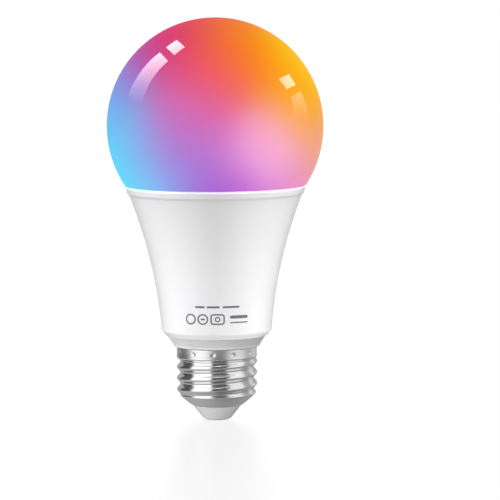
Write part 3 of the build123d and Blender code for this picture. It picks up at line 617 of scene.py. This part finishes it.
def make_housing():
    """The flared white housing with its rounded lip, shoulder and inner wall."""
    lip = rounded([
        (flare_radius(BAND_LOW_Z), BAND_LOW_Z),
        (flare_radius(BAND_LOW_Z + 0.25) + 0.03, BAND_LOW_Z + 0.25, 0.2),
        (LIP_RADIUS - 0.45, BAND_LOW_Z + 0.95, 0.6),
        (LIP_RADIUS, BAND_LOW_Z + 2.3, 1.5),
        (SEAM_RADIUS + 0.03, SEAM_Z - SEAM_GAP, 0.5),
        (SEAT_RADIUS, SEAM_Z - SEAM_GAP, 0.1),
        (SEAT_RADIUS, SEAT_Z),
        (LINING_RADIUS, SEAT_Z),
        (LINING_RADIUS, LINING_HIGH_Z),
    ])
    foot = rounded([
        (15.8, FOOT_FLOOR_Z),
        (FOOT_BORE, FOOT_FLOOR_Z),
        (FOOT_BORE, FOOT_Z, 0.2),
        (FOOT_RADIUS, FOOT_Z, 0.25),
        (SHOULDER_RADIUS, SHOULDER_Z, 0.9),
        (flare_radius(SHOULDER_Z + 1.5), SHOULDER_Z + 1.5),
    ], 7)
    lining = flare(LINING_LOW_Z, LINING_HIGH_Z, HOUSING_WALL, 20)
    housing = lathe("housing", foot[:-1] + flare(SHOULDER_Z + 1.5, BAND_LOW_Z) + lip[1:] + lining[::-1])
    finish_piece(housing, housing_material(), "housing", "housing_shell")


def make_collar():
    """The neck cone between the housing and the cap, with its plain tube inside the cap."""
    outline = rounded([
        (TUBE_BORE, TUBE_LOW_Z),
        (TUBE_RADIUS, TUBE_LOW_Z, 0.3),
        (TUBE_RADIUS, 20.8, 0.3),
        (12.45, 21.2, 0.1),
        (12.5, SHELL_HIGH_Z + 0.1),
        (14.0, SHELL_HIGH_Z + 0.1, 0.3),
        (14.22, 24.85, 0.25),
        (CONE_RADIUS, CONE_HIGH_Z - 0.1, 0.05),
        (CONE_RADIUS, CONE_HIGH_Z, 0.03),
        (PLUG_RADIUS, CONE_HIGH_Z),
        (PLUG_RADIUS, 29.05),
        (PLUG_RADIUS + 0.4, 29.1, 0.05),
        (PLUG_RADIUS + 0.4, 29.4, 0.1),
        (PLUG_RADIUS, 30.2, 0.1),
        (PLUG_RADIUS, PLUG_HIGH_Z, 0.2),
        (PLUG_BORE, PLUG_HIGH_Z, 0.2),
        (PLUG_BORE, 27.5, 0.3),
        (TUBE_BORE, 24.5, 0.3),
    ])
    collar = lathe("collar", outline)
    shader = moulded("collar_plastic", (0.72, 0.72, 0.72), 0.45, 6000, 0.02, 0.004)
    finish_piece(collar, shader, "collar", "base_collar")


def make_cap():
    """The rolled screw shell: one closed sheet, with its stake dimples evenly round the band."""
    turns, outer_rows, inner_rows = 320, 170, 60
    height = SHELL_HIGH_Z - SHELL_LOW_Z
    outer = [SHELL_LOW_Z + height * i / outer_rows for i in range(outer_rows + 1)]
    inner = [SHELL_HIGH_Z - height * i / inner_rows for i in range(inner_rows + 1)]
    sheet = [(z, 0.0) for z in outer] + [(z, SHELL_WALL) for z in inner]
    bm = bmesh.new()
    columns = []
    for i in range(turns):
        angle = 360 * i / turns
        turn = radians(angle)
        column = []
        for z, inset in sheet:
            radius = cap_radius(angle, z, inset)
            column.append(bm.verts.new((radius * cos(turn) * MM, radius * sin(turn) * MM, z * MM)))
        columns.append(column)
    rows = len(columns[0])
    for i in range(turns):
        here, after = columns[i], columns[(i + 1) % turns]
        for j in range(rows):
            k = (j + 1) % rows
            bm.faces.new((here[j], after[j], after[k], here[k]))
    bmesh.ops.recalc_face_normals(bm, faces=bm.faces)
    cap = smooth(object_of(bm, "cap"), 60)
    finish_piece(cap, cap_material(), "screw_cap", "screw_shell")


def make_insulator():
    """The insulating cone under the cap, with a bore for the contact's pin."""
    outline = rounded([
        (PIN_RADIUS + 0.05, CONTACT_SEAT_Z),
        (CONTACT_SEAT_RADIUS, CONTACT_SEAT_Z),
        (CONTACT_SEAT_RADIUS, 0.35, 0.1),
        (4.45, 0.35, 0.4),
        (SHELL_LOW_RADIUS - 0.15, SHELL_LOW_Z - 0.1, 0.12),
        (SHELL_LOW_RADIUS - 0.6, SHELL_LOW_Z - 0.1),
        (INSULATOR_RADIUS, 6.4, 0.2),
        (INSULATOR_RADIUS, 7.2, 0.2),
        (INSULATOR_RADIUS - 1.0, 7.2, 0.2),
        (6.0, 5.0, 0.4),
        (2.6, 4.0, 0.4),
        (2.6, 6.6, 0.2),
        (PIN_RADIUS + 0.05, 6.6),
    ])
    insulator = lathe("insulator_cone", outline, 192)
    finish_piece(insulator, insulator_material(), "insulator", "insulator")


def make_contact():
    """The tip contact: a flat button with a rolled edge and a hollow pin."""
    outline = rounded([
        (0.0, 0.0),
        (CONTACT_RADIUS, 0.0, 0.28),
        (CONTACT_RADIUS, 1.0, 0.1),
        (PIN_RADIUS, 1.0, 0.1),
        (PIN_RADIUS, 7.6, 0.1),
        (0.55, 7.6),
        (0.55, 5.6),
        (0.0, 5.6),
    ])
    contact = lathe("contact_button", outline, 128)
    finish_piece(contact, contact_material(), "contact", "tip_contact")


def band_of(path, half_width):
    """Points either side of a closed path of (along, height), half a width away."""
    sides = []
    for i, point in enumerate(path):
        before = path[i - 1]
        after = path[(i + 1) % len(path)]
        ahead = (Vector(after) - Vector(before)).normalized()
        across = Vector((-ahead.y, ahead.x)) * half_width
        sides.append((Vector(point) - across, Vector(point) + across))
    return sides


def ring_path(along, height, width, depth, corner, steps=10):
    """A closed path round a rectangle with round corners, or a circle where the corners meet."""
    path = []
    for quarter, (right, up) in enumerate(((1, 1), (-1, 1), (-1, -1), (1, -1))):
        for step in range(steps):
            turn = radians(90 * (quarter + step / steps))
            x = along + right * (width / 2 - corner) + corner * cos(turn)
            path.append((x, height + up * (depth / 2 - corner) + corner * sin(turn)))
    # Long straight stretches are cut short, so that they bend with the housing.
    bent = []
    for (x, z), (next_x, next_z) in zip(path, path[1:] + path[:1]):
        parts = max(1, ceil(hypot(next_x - x, next_z - z) / 0.4))
        bent += [(x + (next_x - x) * k / parts, z + (next_z - z) * k / parts) for k in range(parts)]
    return bent


def bar_sides(along, height, length, thickness, steps=24):
    """Points either side of a straight bar with round ends."""
    half = thickness / 2
    sides = []
    for i in range(steps + 1):
        place = -cos(pi * i / steps) * length / 2
        over = max(abs(place) - (length / 2 - half), 0)
        rise = sqrt(max(half**2 - over**2, BAR_END**2))
        sides.append((Vector((along + place, height - rise)), Vector((along + place, height + rise))))
    return sides


def on_housing(point, lift):
    """A point of (along, height) in millimetres, wrapped round the front of the trumpet."""
    along, height = point
    surface = flare_radius(height)
    turn = along / surface
    radius = (surface + lift) * MM
    return radius * sin(turn), -radius * cos(turn), height * MM


def make_marks():
    """Plain rings and bars of grey ink low on the front of the housing, each a thin closed solid."""
    shapes = []
    # Three dashes.
    for along, length in ((-5.2, 3.2), (-0.9, 4.2), (4.9, 5.6)):
        shapes.append((bar_sides(along, DASHES_Z, length, 0.62), False))
    # Two rings, a short bar in the second one, and a rounded frame with a small ring in it.
    for along in (-8.4, -4.3):
        shapes.append((band_of(ring_path(along, MARKS_Z, 3.1, 3.1, 1.55, 12), INK_LINE), True))
    shapes.append((bar_sides(-4.3, MARKS_Z, 1.3, 0.6), False))
    shapes.append((band_of(ring_path(0.5, MARKS_Z, 4.2, 3.1, 0.8), INK_LINE), True))
    shapes.append((band_of(ring_path(0.5, MARKS_Z, 1.4, 1.4, 0.7), 0.2), True))
    # Two bars.
    shapes.append((bar_sides(7.6, 35.2, 6.2, 1.0), False))
    shapes.append((bar_sides(7.6, 33.4, 6.2, 0.42), False))
    bm = bmesh.new()
    for sides, closed in shapes:
        loops = []
        for low, high in sides:
            section = ((low, -INK_SUNK), (low, INK_PROUD), (high, INK_PROUD), (high, -INK_SUNK))
            loops.append([bm.verts.new(on_housing(point, lift)) for point, lift in section])
        pairs = list(zip(loops, loops[1:])) + ([(loops[-1], loops[0])] if closed else [])
        for here, after in pairs:
            for k in range(4):
                bm.faces.new((here[k], after[k], after[(k + 1) % 4], here[(k + 1) % 4]))
        if not closed:
            bm.faces.new(loops[0])
            bm.faces.new(loops[-1][::-1])
    bmesh.ops.recalc_face_normals(bm, faces=bm.faces)
    marks = smooth(object_of(bm, "print_marks"), 30)
    ink = Shader("print_ink")
    ink.tinted(ink.noise(2500, 4), (0.15, 0.15, 0.155), 0.25)
    ink.rough(ink.span(ink.noise(1500, 3), 0.45, 0.6))
    ink.bump(ink.noise(5000, 2), 0.002)
    finish_piece(marks, ink, "housing")


make_globe()
make_housing()
make_collar()
make_cap()
make_insulator()
make_contact()
make_marks()

# -------------------- CAD nodes inside the bulb


def board_material(name, mask, track):
    """A circuit board: solder mask over a faint pattern of tracks, with a glossy coat."""
    look = Shader(name)
    cells = look.node("ShaderNodeTexVoronoi", feature="DISTANCE_TO_EDGE", distance="CHEBYCHEV")
    cells.inputs["Scale"].default_value = 380
    cells.inputs["Randomness"].default_value = 0.75
    look.link(look.place, cells.inputs["Vector"])
    look.colour(look.ramp(cells.outputs["Distance"], [(0.05, track), (0.12, mask)]))
    look.rough(look.span(look.noise(900, 3), 0.22, 0.38))
    look.bump(cells.outputs["Distance"], 0.02, 0.5)
    return look.set(coat_weight=0.6, coat_roughness=0.12)


def wound_material(name, dark, light, pitch_mm, axis):
    """Wire or tape wound round a former, its colour running from painted shade between the turns to a
    painted highlight on each turn's crest.
    """
    look = Shader(name)
    turns = look.waves(1.0 / (pitch_mm * MM), axis, 0.6)
    # The ramp paints shade into the grooves and a highlight onto the crests, along the same waves as the
    # bump.
    look.colour(look.ramp(turns, [(0.15, dark), (0.75, light)]))
    look.rough(look.span(look.noise(1500, 3), 0.22, 0.36))
    look.bump(turns, 0.06)
    return look


def phosphor_material(name, colour):
    """Phosphor in silicone: a fine speckle under a soft gloss."""
    look = Shader(name)
    look.tinted(look.noise(9000, 3), colour, 0.18)
    look.rough(look.span(look.noise(4000, 2), 0.22, 0.38))
    look.bump(look.noise(6000, 2), 0.004)
    return look.set(coat_weight=0.5, coat_roughness=0.08)


# Each inside node that keeps its CAD shape, with the function and the settings of its material.
# A wound piece's two colours are its painted shade between the turns and its painted highlight on the
# crests.
INSIDE = {
    "adhesive_bead": (moulded, "bead_silicone", (0.8, 0.8, 0.78), 0.3, 1500, 0.03, 0.02),
    "heatsink_cup": (sheet_metal, "cup_aluminium", (0.78, 0.79, 0.8)),
    "heatsink_plate": (sheet_metal, "plate_aluminium", (0.76, 0.77, 0.79), 0.34, (6, 1, 1)),
    "thermal_pad": (moulded, "thermal_pad_grey", (0.42, 0.5, 0.62), 0.7, 2500, 0.08, 0.01),
    "led_board": (board_material, "led_board_white", (0.84, 0.84, 0.81), (0.74, 0.74, 0.7)),
    "white_led_frames": (moulded, "led_resin", (0.88, 0.88, 0.85), 0.4, 8000, 0.03, 0.004),
    "cool_white_windows": (phosphor_material, "phosphor_cool", (0.9, 0.76, 0.2)),
    "warm_white_windows": (phosphor_material, "phosphor_warm", (0.88, 0.4, 0.06)),
    "rgb_led_frames": (moulded, "colour_led_resin", (0.9, 0.9, 0.88), 0.38, 8000, 0.03, 0.004),
    "rgb_led_windows": (moulded, "led_clear_resin", (0.62, 0.66, 0.7), 0.12, 3000, 0.1, 0.003, 1.0),
    "board_screws": (sheet_metal, "screw_zinc", (0.62, 0.62, 0.6), 0.3, (1, 1, 1), 5000),
    "radio_board": (board_material, "radio_board_blue", (0.02, 0.07, 0.22), (0.05, 0.14, 0.32)),
    "radio_shield": (sheet_metal, "shield_tin", (0.72, 0.72, 0.73), 0.3, (8, 1, 1), 1800),
    "radio_antenna": (sheet_metal, "antenna_copper", (0.82, 0.46, 0.26), 0.3, (1, 1, 1), 5000),
    "radio_pins": (sheet_metal, "pin_gold_small", (0.86, 0.66, 0.3), 0.22, (1, 6, 1), 4000),
    "radio_pin_spacer": (moulded, "spacer_black", (0.02, 0.02, 0.022), 0.45),
    "driver_board": (board_material, "driver_board_green", (0.02, 0.14, 0.05), (0.06, 0.26, 0.09)),
    "header_pins": (sheet_metal, "pin_gold", (0.86, 0.66, 0.3), 0.22, (1, 1, 6), 4000),
    "header_body": (moulded, "header_black", (0.02, 0.02, 0.022), 0.45),
    "capacitor_cans": (sheet_metal, "can_aluminium", (0.82, 0.82, 0.83), 0.2, (5, 5, 1), 2500),
    "capacitor_sleeves": (moulded, "sleeve_film", (0.02, 0.03, 0.06), 0.2, 1200, 0.15, 0.01, 0.6),
    "film_capacitor": (moulded, "film_case_yellow", (0.66, 0.46, 0.03), 0.28, 2500, 0.06, 0.01),
    "varistor": (moulded, "varistor_blue", (0.03, 0.12, 0.48), 0.22, 1400, 0.08, 0.03, 0.5),
    "component_leads": (sheet_metal, "lead_tin", (0.78, 0.78, 0.79), 0.25, (1, 1, 1), 6000),
    "choke_core": (moulded, "choke_ferrite", (0.035, 0.035, 0.04), 0.55, 3000, 0.15, 0.015),
    "choke_winding": (wound_material, "choke_copper", (0.16, 0.04, 0.01), (0.72, 0.28, 0.08), 0.45, "Y"),
    "transformer_core": (moulded, "transformer_ferrite", (0.04, 0.04, 0.045), 0.6, 3000, 0.15, 0.015),
    "transformer_bobbin": (moulded, "bobbin_black", (0.025, 0.025, 0.025), 0.4, 3500),
    "transformer_winding": (wound_material, "tape_yellow", (0.5, 0.3, 0.01), (0.86, 0.62, 0.05), 2.4, "Z"),
    "driver_chips": (moulded, "chip_epoxy", (0.018, 0.018, 0.02), 0.5, 9000, 0.1, 0.006),
    "bridge_rectifier": (moulded, "bridge_epoxy", (0.02, 0.02, 0.022), 0.5, 9000, 0.1, 0.006),
    "chip_legs": (sheet_metal, "leg_tin", (0.8, 0.8, 0.81), 0.2, (1, 1, 1), 6000),
    "chip_resistors": (moulded, "resistor_glaze", (0.02, 0.02, 0.02), 0.3, 9000, 0.1, 0.004),
    "chip_capacitors": (moulded, "ceramic_brown", (0.38, 0.24, 0.12), 0.5, 9000, 0.1, 0.006),
    "chip_terminals": (sheet_metal, "terminal_tin", (0.78, 0.78, 0.79), 0.28, (1, 1, 1), 7000),
    "solder_joints": (sheet_metal, "solder", (0.74, 0.75, 0.77), 0.18, (1, 1, 1), 3000, 0.008),
    "fusible_resistor": (moulded, "fuse_paint", (0.22, 0.42, 0.3), 0.45, 4000, 0.08, 0.015),
    "heat_shrink_sleeve": (wound_material, "glass_sleeve", (0.62, 0.62, 0.58), (0.86, 0.86, 0.82), 0.4, "Z"),
    "live_lead": (moulded, "live_insulation", (0.74, 0.74, 0.7), 0.35, 3000, 0.05, 0.006),
    "neutral_lead": (moulded, "neutral_insulation", (0.72, 0.72, 0.7), 0.35, 3000, 0.05, 0.006),
}

for node, (make_material, *settings) in INSIDE.items():
    wear(NODES[node], make_material(*settings))

# -------------------- stage: floor, surroundings, lights


# The glow of the floor and the world for everything but the camera.
SURROUND_GLOW = 0.06

# The floor, with the share of it that mirrors, and the dome that it mirrors, in metres.
FLOOR_SIDE = 40
FLOOR_WHITE = 1.01
FLOOR_SHEEN = 0.16
FLOOR_ROUGHNESS = 0.28
DOME_RADIUS = 14
DOME_GLOW = 1.25

# Where the lamps and the window panes stand, and how a pane fades.
SOFTBOX_AIM_Z = 60.0
SPOT_DISTANCE = 0.6
WINDOW_REACH = 0.7
FADE_POWER = 1.25

# The surroundings of the metal: their brightest grey and the height of their centre.
BRIGHTEST = 4.0
TENT_CENTRE_Z = 15.0


def linked(*names):
    """A collection of the objects that a light may reach, or that may stop it."""
    group = bpy.data.collections.new("lit_" + "_".join(names))
    for name in names:
        group.objects.link(bpy.data.objects[name])
    return group


def place_lamp(name, data, azimuth, elevation, distance, power, receivers, aim_z):
    """Stands a lamp some metres from the bulb, aims it at a height and lets it light some pieces."""
    data.energy = power
    lamp = bpy.data.objects.new(name, data)
    bpy.context.scene.collection.objects.link(lamp)
    away = direction(azimuth, elevation)
    lamp.location = Vector((0, 0, aim_z * MM)) + away * distance
    lamp.rotation_mode = "QUATERNION"
    lamp.rotation_quaternion = (-away).to_track_quat("-Z", "Y")
    lamp.visible_camera = False
    lamp.light_linking.receiver_collection = linked(*receivers)
    return lamp


def softbox(name, azimuth, elevation, distance, width, height, power, receivers):
    """A rectangular soft light, with its distance and sides in metres."""
    data = bpy.data.lights.new(name, "AREA")
    data.shape = "RECTANGLE"
    data.size, data.size_y = width, height
    place_lamp(name, data, azimuth, elevation, distance, power, receivers, SOFTBOX_AIM_Z)


def spot(name, azimuth, elevation, beam, power, receivers, aim_z):
    """A soft-edged beam with no highlight of its own, which the floor doesn't stop."""
    data = bpy.data.lights.new(name, "SPOT")
    data.spot_size = radians(beam)
    data.spot_blend = 1.0
    data.shadow_soft_size = 0.04
    lamp = place_lamp(name, data, azimuth, elevation, SPOT_DISTANCE, power, receivers, aim_z)
    lamp.visible_glossy = False
    lamp.light_linking.blocker_collection = linked("housing")


def mirrored(turn, share):
    """Where the camera's sight goes after the globe mirrors it, WINDOW_REACH beyond the globe.

    The turn goes anticlockwise round the globe as the camera sees it, from the right, and the
    share goes from 0 at the middle of the globe to 1 at its outline.
    """
    centre = Vector((0, 0, GLOBE_CENTRE_Z * MM))
    toward = (CAMERA_PLACE - centre).normalized()
    across = camera.rotation_quaternion @ Vector((1, 0, 0))
    upward = toward.cross(across).normalized()
    out = across * cos(radians(turn)) + upward * sin(radians(turn))
    outward = out * share + toward * sqrt(1 - share**2)
    point = centre + outward * GLOBE_RADIUS * MM
    return point + (point - CAMERA_PLACE).normalized().reflect(outward) * WINDOW_REACH


def window(name, corners, strength, fades=False):
    """A bright pane that the globe mirrors, with its corners as (turn, share) round the pane.

    The first two corners are its upper end, and a pane that fades goes dark at the other end.
    """
    down, over = 16, 4
    bm = bmesh.new()
    uv = bm.loops.layers.uv.new("uv")
    grid = []
    for i in range(down + 1):
        left = Vector(corners[0]).lerp(Vector(corners[3]), i / down)
        right = Vector(corners[1]).lerp(Vector(corners[2]), i / down)
        grid.append([bm.verts.new(mirrored(*left.lerp(right, j / over))) for j in range(over + 1)])
    for i in range(down):
        for j in range(over):
            face = bm.faces.new((grid[i][j], grid[i][j + 1], grid[i + 1][j + 1], grid[i + 1][j]))
            for loop, row in zip(face.loops, (i, i, i + 1, i + 1)):
                loop[uv].uv = (0.5, 1 - row / down)
    pane = object_of(bm, name)
    material, tree, glow = glowing(name, strength)
    if fades:
        place = tree.nodes.new("ShaderNodeUVMap")
        along = tree.nodes.new("ShaderNodeSeparateXYZ")
        curve = tree.nodes.new("ShaderNodeMath")
        power = tree.nodes.new("ShaderNodeMath")
        curve.operation, power.operation = "POWER", "MULTIPLY"
        curve.inputs[1].default_value = FADE_POWER
        power.inputs[1].default_value = strength
        tree.links.new(place.outputs["UV"], along.inputs["Vector"])
        tree.links.new(along.outputs["Y"], curve.inputs[0])
        tree.links.new(curve.outputs["Value"], power.inputs[0])
        tree.links.new(power.outputs["Value"], glow.inputs["Strength"])
    pane.data.materials.append(material)
    pane.visible_diffuse = False
    for_mirrors(pane, "globe")


def glowing(name, strength):
    """A material that glows and lets every ray through. Its surface is not sampled as a lamp."""
    material = bpy.data.materials.new(name)
    material.use_nodes = True
    tree = material.node_tree
    tree.nodes.clear()
    out = tree.nodes.new("ShaderNodeOutputMaterial")
    glow = tree.nodes.new("ShaderNodeEmission")
    clear = tree.nodes.new("ShaderNodeBsdfTransparent")
    both = tree.nodes.new("ShaderNodeAddShader")
    glow.inputs["Strength"].default_value = strength
    material.cycles.emission_sampling = "NONE"
    tree.links.new(glow.outputs["Emission"], both.inputs[0])
    tree.links.new(clear.outputs["BSDF"], both.inputs[1])
    tree.links.new(both.outputs["Shader"], out.inputs["Surface"])
    return material, tree, glow


def for_mirrors(obj, *receivers):
    """Hides a glowing stage object from the camera and lets it light only some objects."""
    obj.visible_camera = False
    obj.visible_shadow = False
    obj.light_linking.receiver_collection = linked(*receivers)


def grey_ramp(tree, source, stops):
    """A ramp of (place, grey) stops, as shares of the brightest grey."""
    return colour_ramp(tree, source, [(place, (grey / BRIGHTEST,) * 3) for place, grey in stops])


def make_tent():
    """The surroundings that the metal mirrors: light and dark upright panels above, a grey floor below."""
    bm = bmesh.new()
    bmesh.ops.create_uvsphere(bm, u_segments=48, v_segments=24, radius=1.0)
    tent = object_of(bm, "metal_tent")
    tent.location = (0, 0, TENT_CENTRE_Z * MM)
    material, tree, glow = glowing("metal_tent", BRIGHTEST)

    def maths(operation, *values):
        made = tree.nodes.new("ShaderNodeMath")
        made.operation = operation
        for socket, value in zip(made.inputs, values):
            if isinstance(value, (int, float)):
                socket.default_value = value
            else:
                tree.links.new(value, socket)
        return made.outputs["Value"]

    def blend(share, low, high):
        made = tree.nodes.new("ShaderNodeMixRGB")
        for socket, value in zip(made.inputs, (share, low, high)):
            tree.links.new(value, socket)
        return made.outputs["Color"]

    def around(turn, stops):
        return grey_ramp(tree, turn, [((degree + 180) / 360, grey) for degree, grey in stops])

    def upward(*stops):
        levels = [((sin(radians(degree)) + 1) / 2, grey) for degree, grey in stops]
        return grey_ramp(tree, depth, levels)

    place = tree.nodes.new("ShaderNodeTexCoord")
    split = tree.nodes.new("ShaderNodeSeparateXYZ")
    tree.links.new(place.outputs["Object"], split.inputs["Vector"])
    height = split.outputs["Z"]
    azimuth = maths("ARCTAN2", split.outputs["X"], maths("MULTIPLY", split.outputs["Y"], -1))
    # Above, the panels fan out with height, so each one stays upright as a thread mirrors it.
    above = maths("MAXIMUM", height, 0)
    fan = maths("MULTIPLY_ADD", maths("POWER", above, 4), 1.3, 1)
    turn = maths("MULTIPLY_ADD", maths("DIVIDE", azimuth, fan), 0.5 / pi, 0.5)
    plain_turn = maths("MULTIPLY_ADD", azimuth, 0.5 / pi, 0.5)
    depth = maths("MULTIPLY_ADD", height, 0.5, 0.5)
    is_nadir = upward((-75, BRIGHTEST), (-55, 0.0))
    is_panel = upward((-22, 0.0), (-12, BRIGHTEST))
    ground = blend(is_nadir, around(plain_turn, TENT_GROUND), around(plain_turn, TENT_NADIR))
    tree.links.new(blend(is_panel, ground, around(turn, TENT_PANELS)), glow.inputs["Color"])
    tent.data.materials.append(material)
    for_mirrors(tent, "cap", "contact_button")


def shown_white(tree, strength, seen):
    """Gives a glow one strength for the camera and a dim one for everything else."""
    rays = tree.nodes.new("ShaderNodeLightPath")
    power = tree.nodes.new("ShaderNodeMapRange")
    power.inputs["To Min"].default_value = SURROUND_GLOW
    power.inputs["To Max"].default_value = seen
    tree.links.new(rays.outputs["Is Camera Ray"], power.inputs["Value"])
    tree.links.new(power.outputs["Result"], strength)


def make_floor():
    """A white, faintly glossy floor under the tip, with a white dome for it to mirror."""
    bpy.ops.mesh.primitive_plane_add(size=FLOOR_SIDE, location=(0, 0, 0))
    floor = bpy.context.object
    floor.name = "floor"
    floor.visible_glossy = False
    material = bpy.data.materials.new("floor_white")
    material.use_nodes = True
    tree = material.node_tree
    tree.nodes.clear()
    out = tree.nodes.new("ShaderNodeOutputMaterial")
    pale = tree.nodes.new("ShaderNodeEmission")
    sheen = tree.nodes.new("ShaderNodeBsdfGlossy")
    mix = tree.nodes.new("ShaderNodeMixShader")
    shown_white(tree, pale.inputs["Strength"], FLOOR_WHITE)
    sheen.inputs["Roughness"].default_value = FLOOR_ROUGHNESS
    mix.inputs["Fac"].default_value = FLOOR_SHEEN
    tree.links.new(pale.outputs["Emission"], mix.inputs[1])
    tree.links.new(sheen.outputs["BSDF"], mix.inputs[2])
    tree.links.new(mix.outputs["Shader"], out.inputs["Surface"])
    floor.data.materials.append(material)

    bpy.ops.mesh.primitive_uv_sphere_add(radius=DOME_RADIUS)
    card = bpy.context.object
    card.name = "floor_card"
    card.data.materials.append(glowing("floor_card", DOME_GLOW)[0])
    for_mirrors(card, "floor")


def make_world():
    """White behind the bulb, and dim grey surroundings for everything that the bulb mirrors."""
    world = bpy.data.worlds.new("studio")
    bpy.context.scene.world = world
    world.use_nodes = True
    tree = world.node_tree
    background = tree.nodes["Background"]
    shown_white(tree, background.inputs["Strength"], 1.0)
    background.inputs["Color"].default_value = (1, 1, 1, 1)


# What the metal mirrors, as greys by azimuth from the front towards +X: upright panels above the
# horizon, the ground below it, and the ground straight down.
TENT_PANELS = (
    (-180, 0.35), (-140, 0.4), (-130, 0.03), (-86, 0.03), (-74, 1.4), (-22, 1.4), (-14, 0.06),
    (26, 0.06), (36, 0.95), (76, 0.95), (90, 0.4), (112, 0.35), (128, 0.8), (150, 0.4), (180, 0.35),
)
TENT_GROUND = ((-180, 0.35), (-90, 0.45), (-30, 0.5), (10, 0.28), (60, 0.27), (180, 0.3))
TENT_NADIR = ((-180, 0.3), (-60, 0.34), (0, 0.18), (50, 0.1), (180, 0.14))

make_floor()
make_world()
make_tent()

BODY = ("housing", "print_marks")
LOW = ("collar", "insulator_cone")
# The body is lit evenly from both sides and from the front, with light from below for its foot.
# The neck is lit from all round, and a little more from the lower left. Each pair stands at the
# same angle left and right.
SIDE_WATTS = 4.7
NECK_WATTS = 3.0
for side in (-1, 1):
    name = "left" if side < 0 else "right"
    softbox("side_" + name, side * 77, 30, 0.9, 0.5, 0.7, SIDE_WATTS, BODY)
    softbox("strip_" + name, side * 84, -4, 0.9, 0.12, 0.4, SIDE_WATTS, BODY)
    softbox("neck_quarter_" + name, side * 55, 15, 0.9, 0.3, 0.6, NECK_WATTS, LOW)
    softbox("neck_rim_" + name, side * 105, 8, 0.9, 0.3, 0.9, NECK_WATTS * 2, LOW)
    spot("low_" + name, side * 60, -28, 13, SIDE_WATTS / 2, BODY, 15.0)
    spot("below_" + name, side * 40, -80, 9, SIDE_WATTS * 1.2, BODY, 28.0)
softbox("front", 0, 20, 1.2, 0.5, 0.5, SIDE_WATTS * 1.3, BODY)
softbox("neck_front", 0, 35, 1.2, 0.5, 0.5, NECK_WATTS * 2, LOW)
softbox("back", 180, 15, 1.2, 0.8, 0.5, SIDE_WATTS * 1.5, BODY + LOW)
spot("neck_low", -45, -30, 13, NECK_WATTS * 2.5, LOW, 15.0)
for azimuth in (-55, 0, 55):
    spot("lip_%d" % azimuth, azimuth, 60, 8, SIDE_WATTS * 1.4, BODY, 75.0)

window("window_left_top", [(114, 0.85), (111, 0.76), (120, 0.735), (122, 0.835)], 10.7)
window("window_left", [(127, 0.83), (126, 0.72), (164, 0.685), (164, 0.83)], 10.7, True)
window("window_right_top", [(36.5, 0.715), (35, 0.82), (27, 0.82), (27, 0.73)], 6.5)
window("window_right", [(21, 0.735), (22, 0.84), (4, 0.86), (4, 0.725)], 2.4, True)
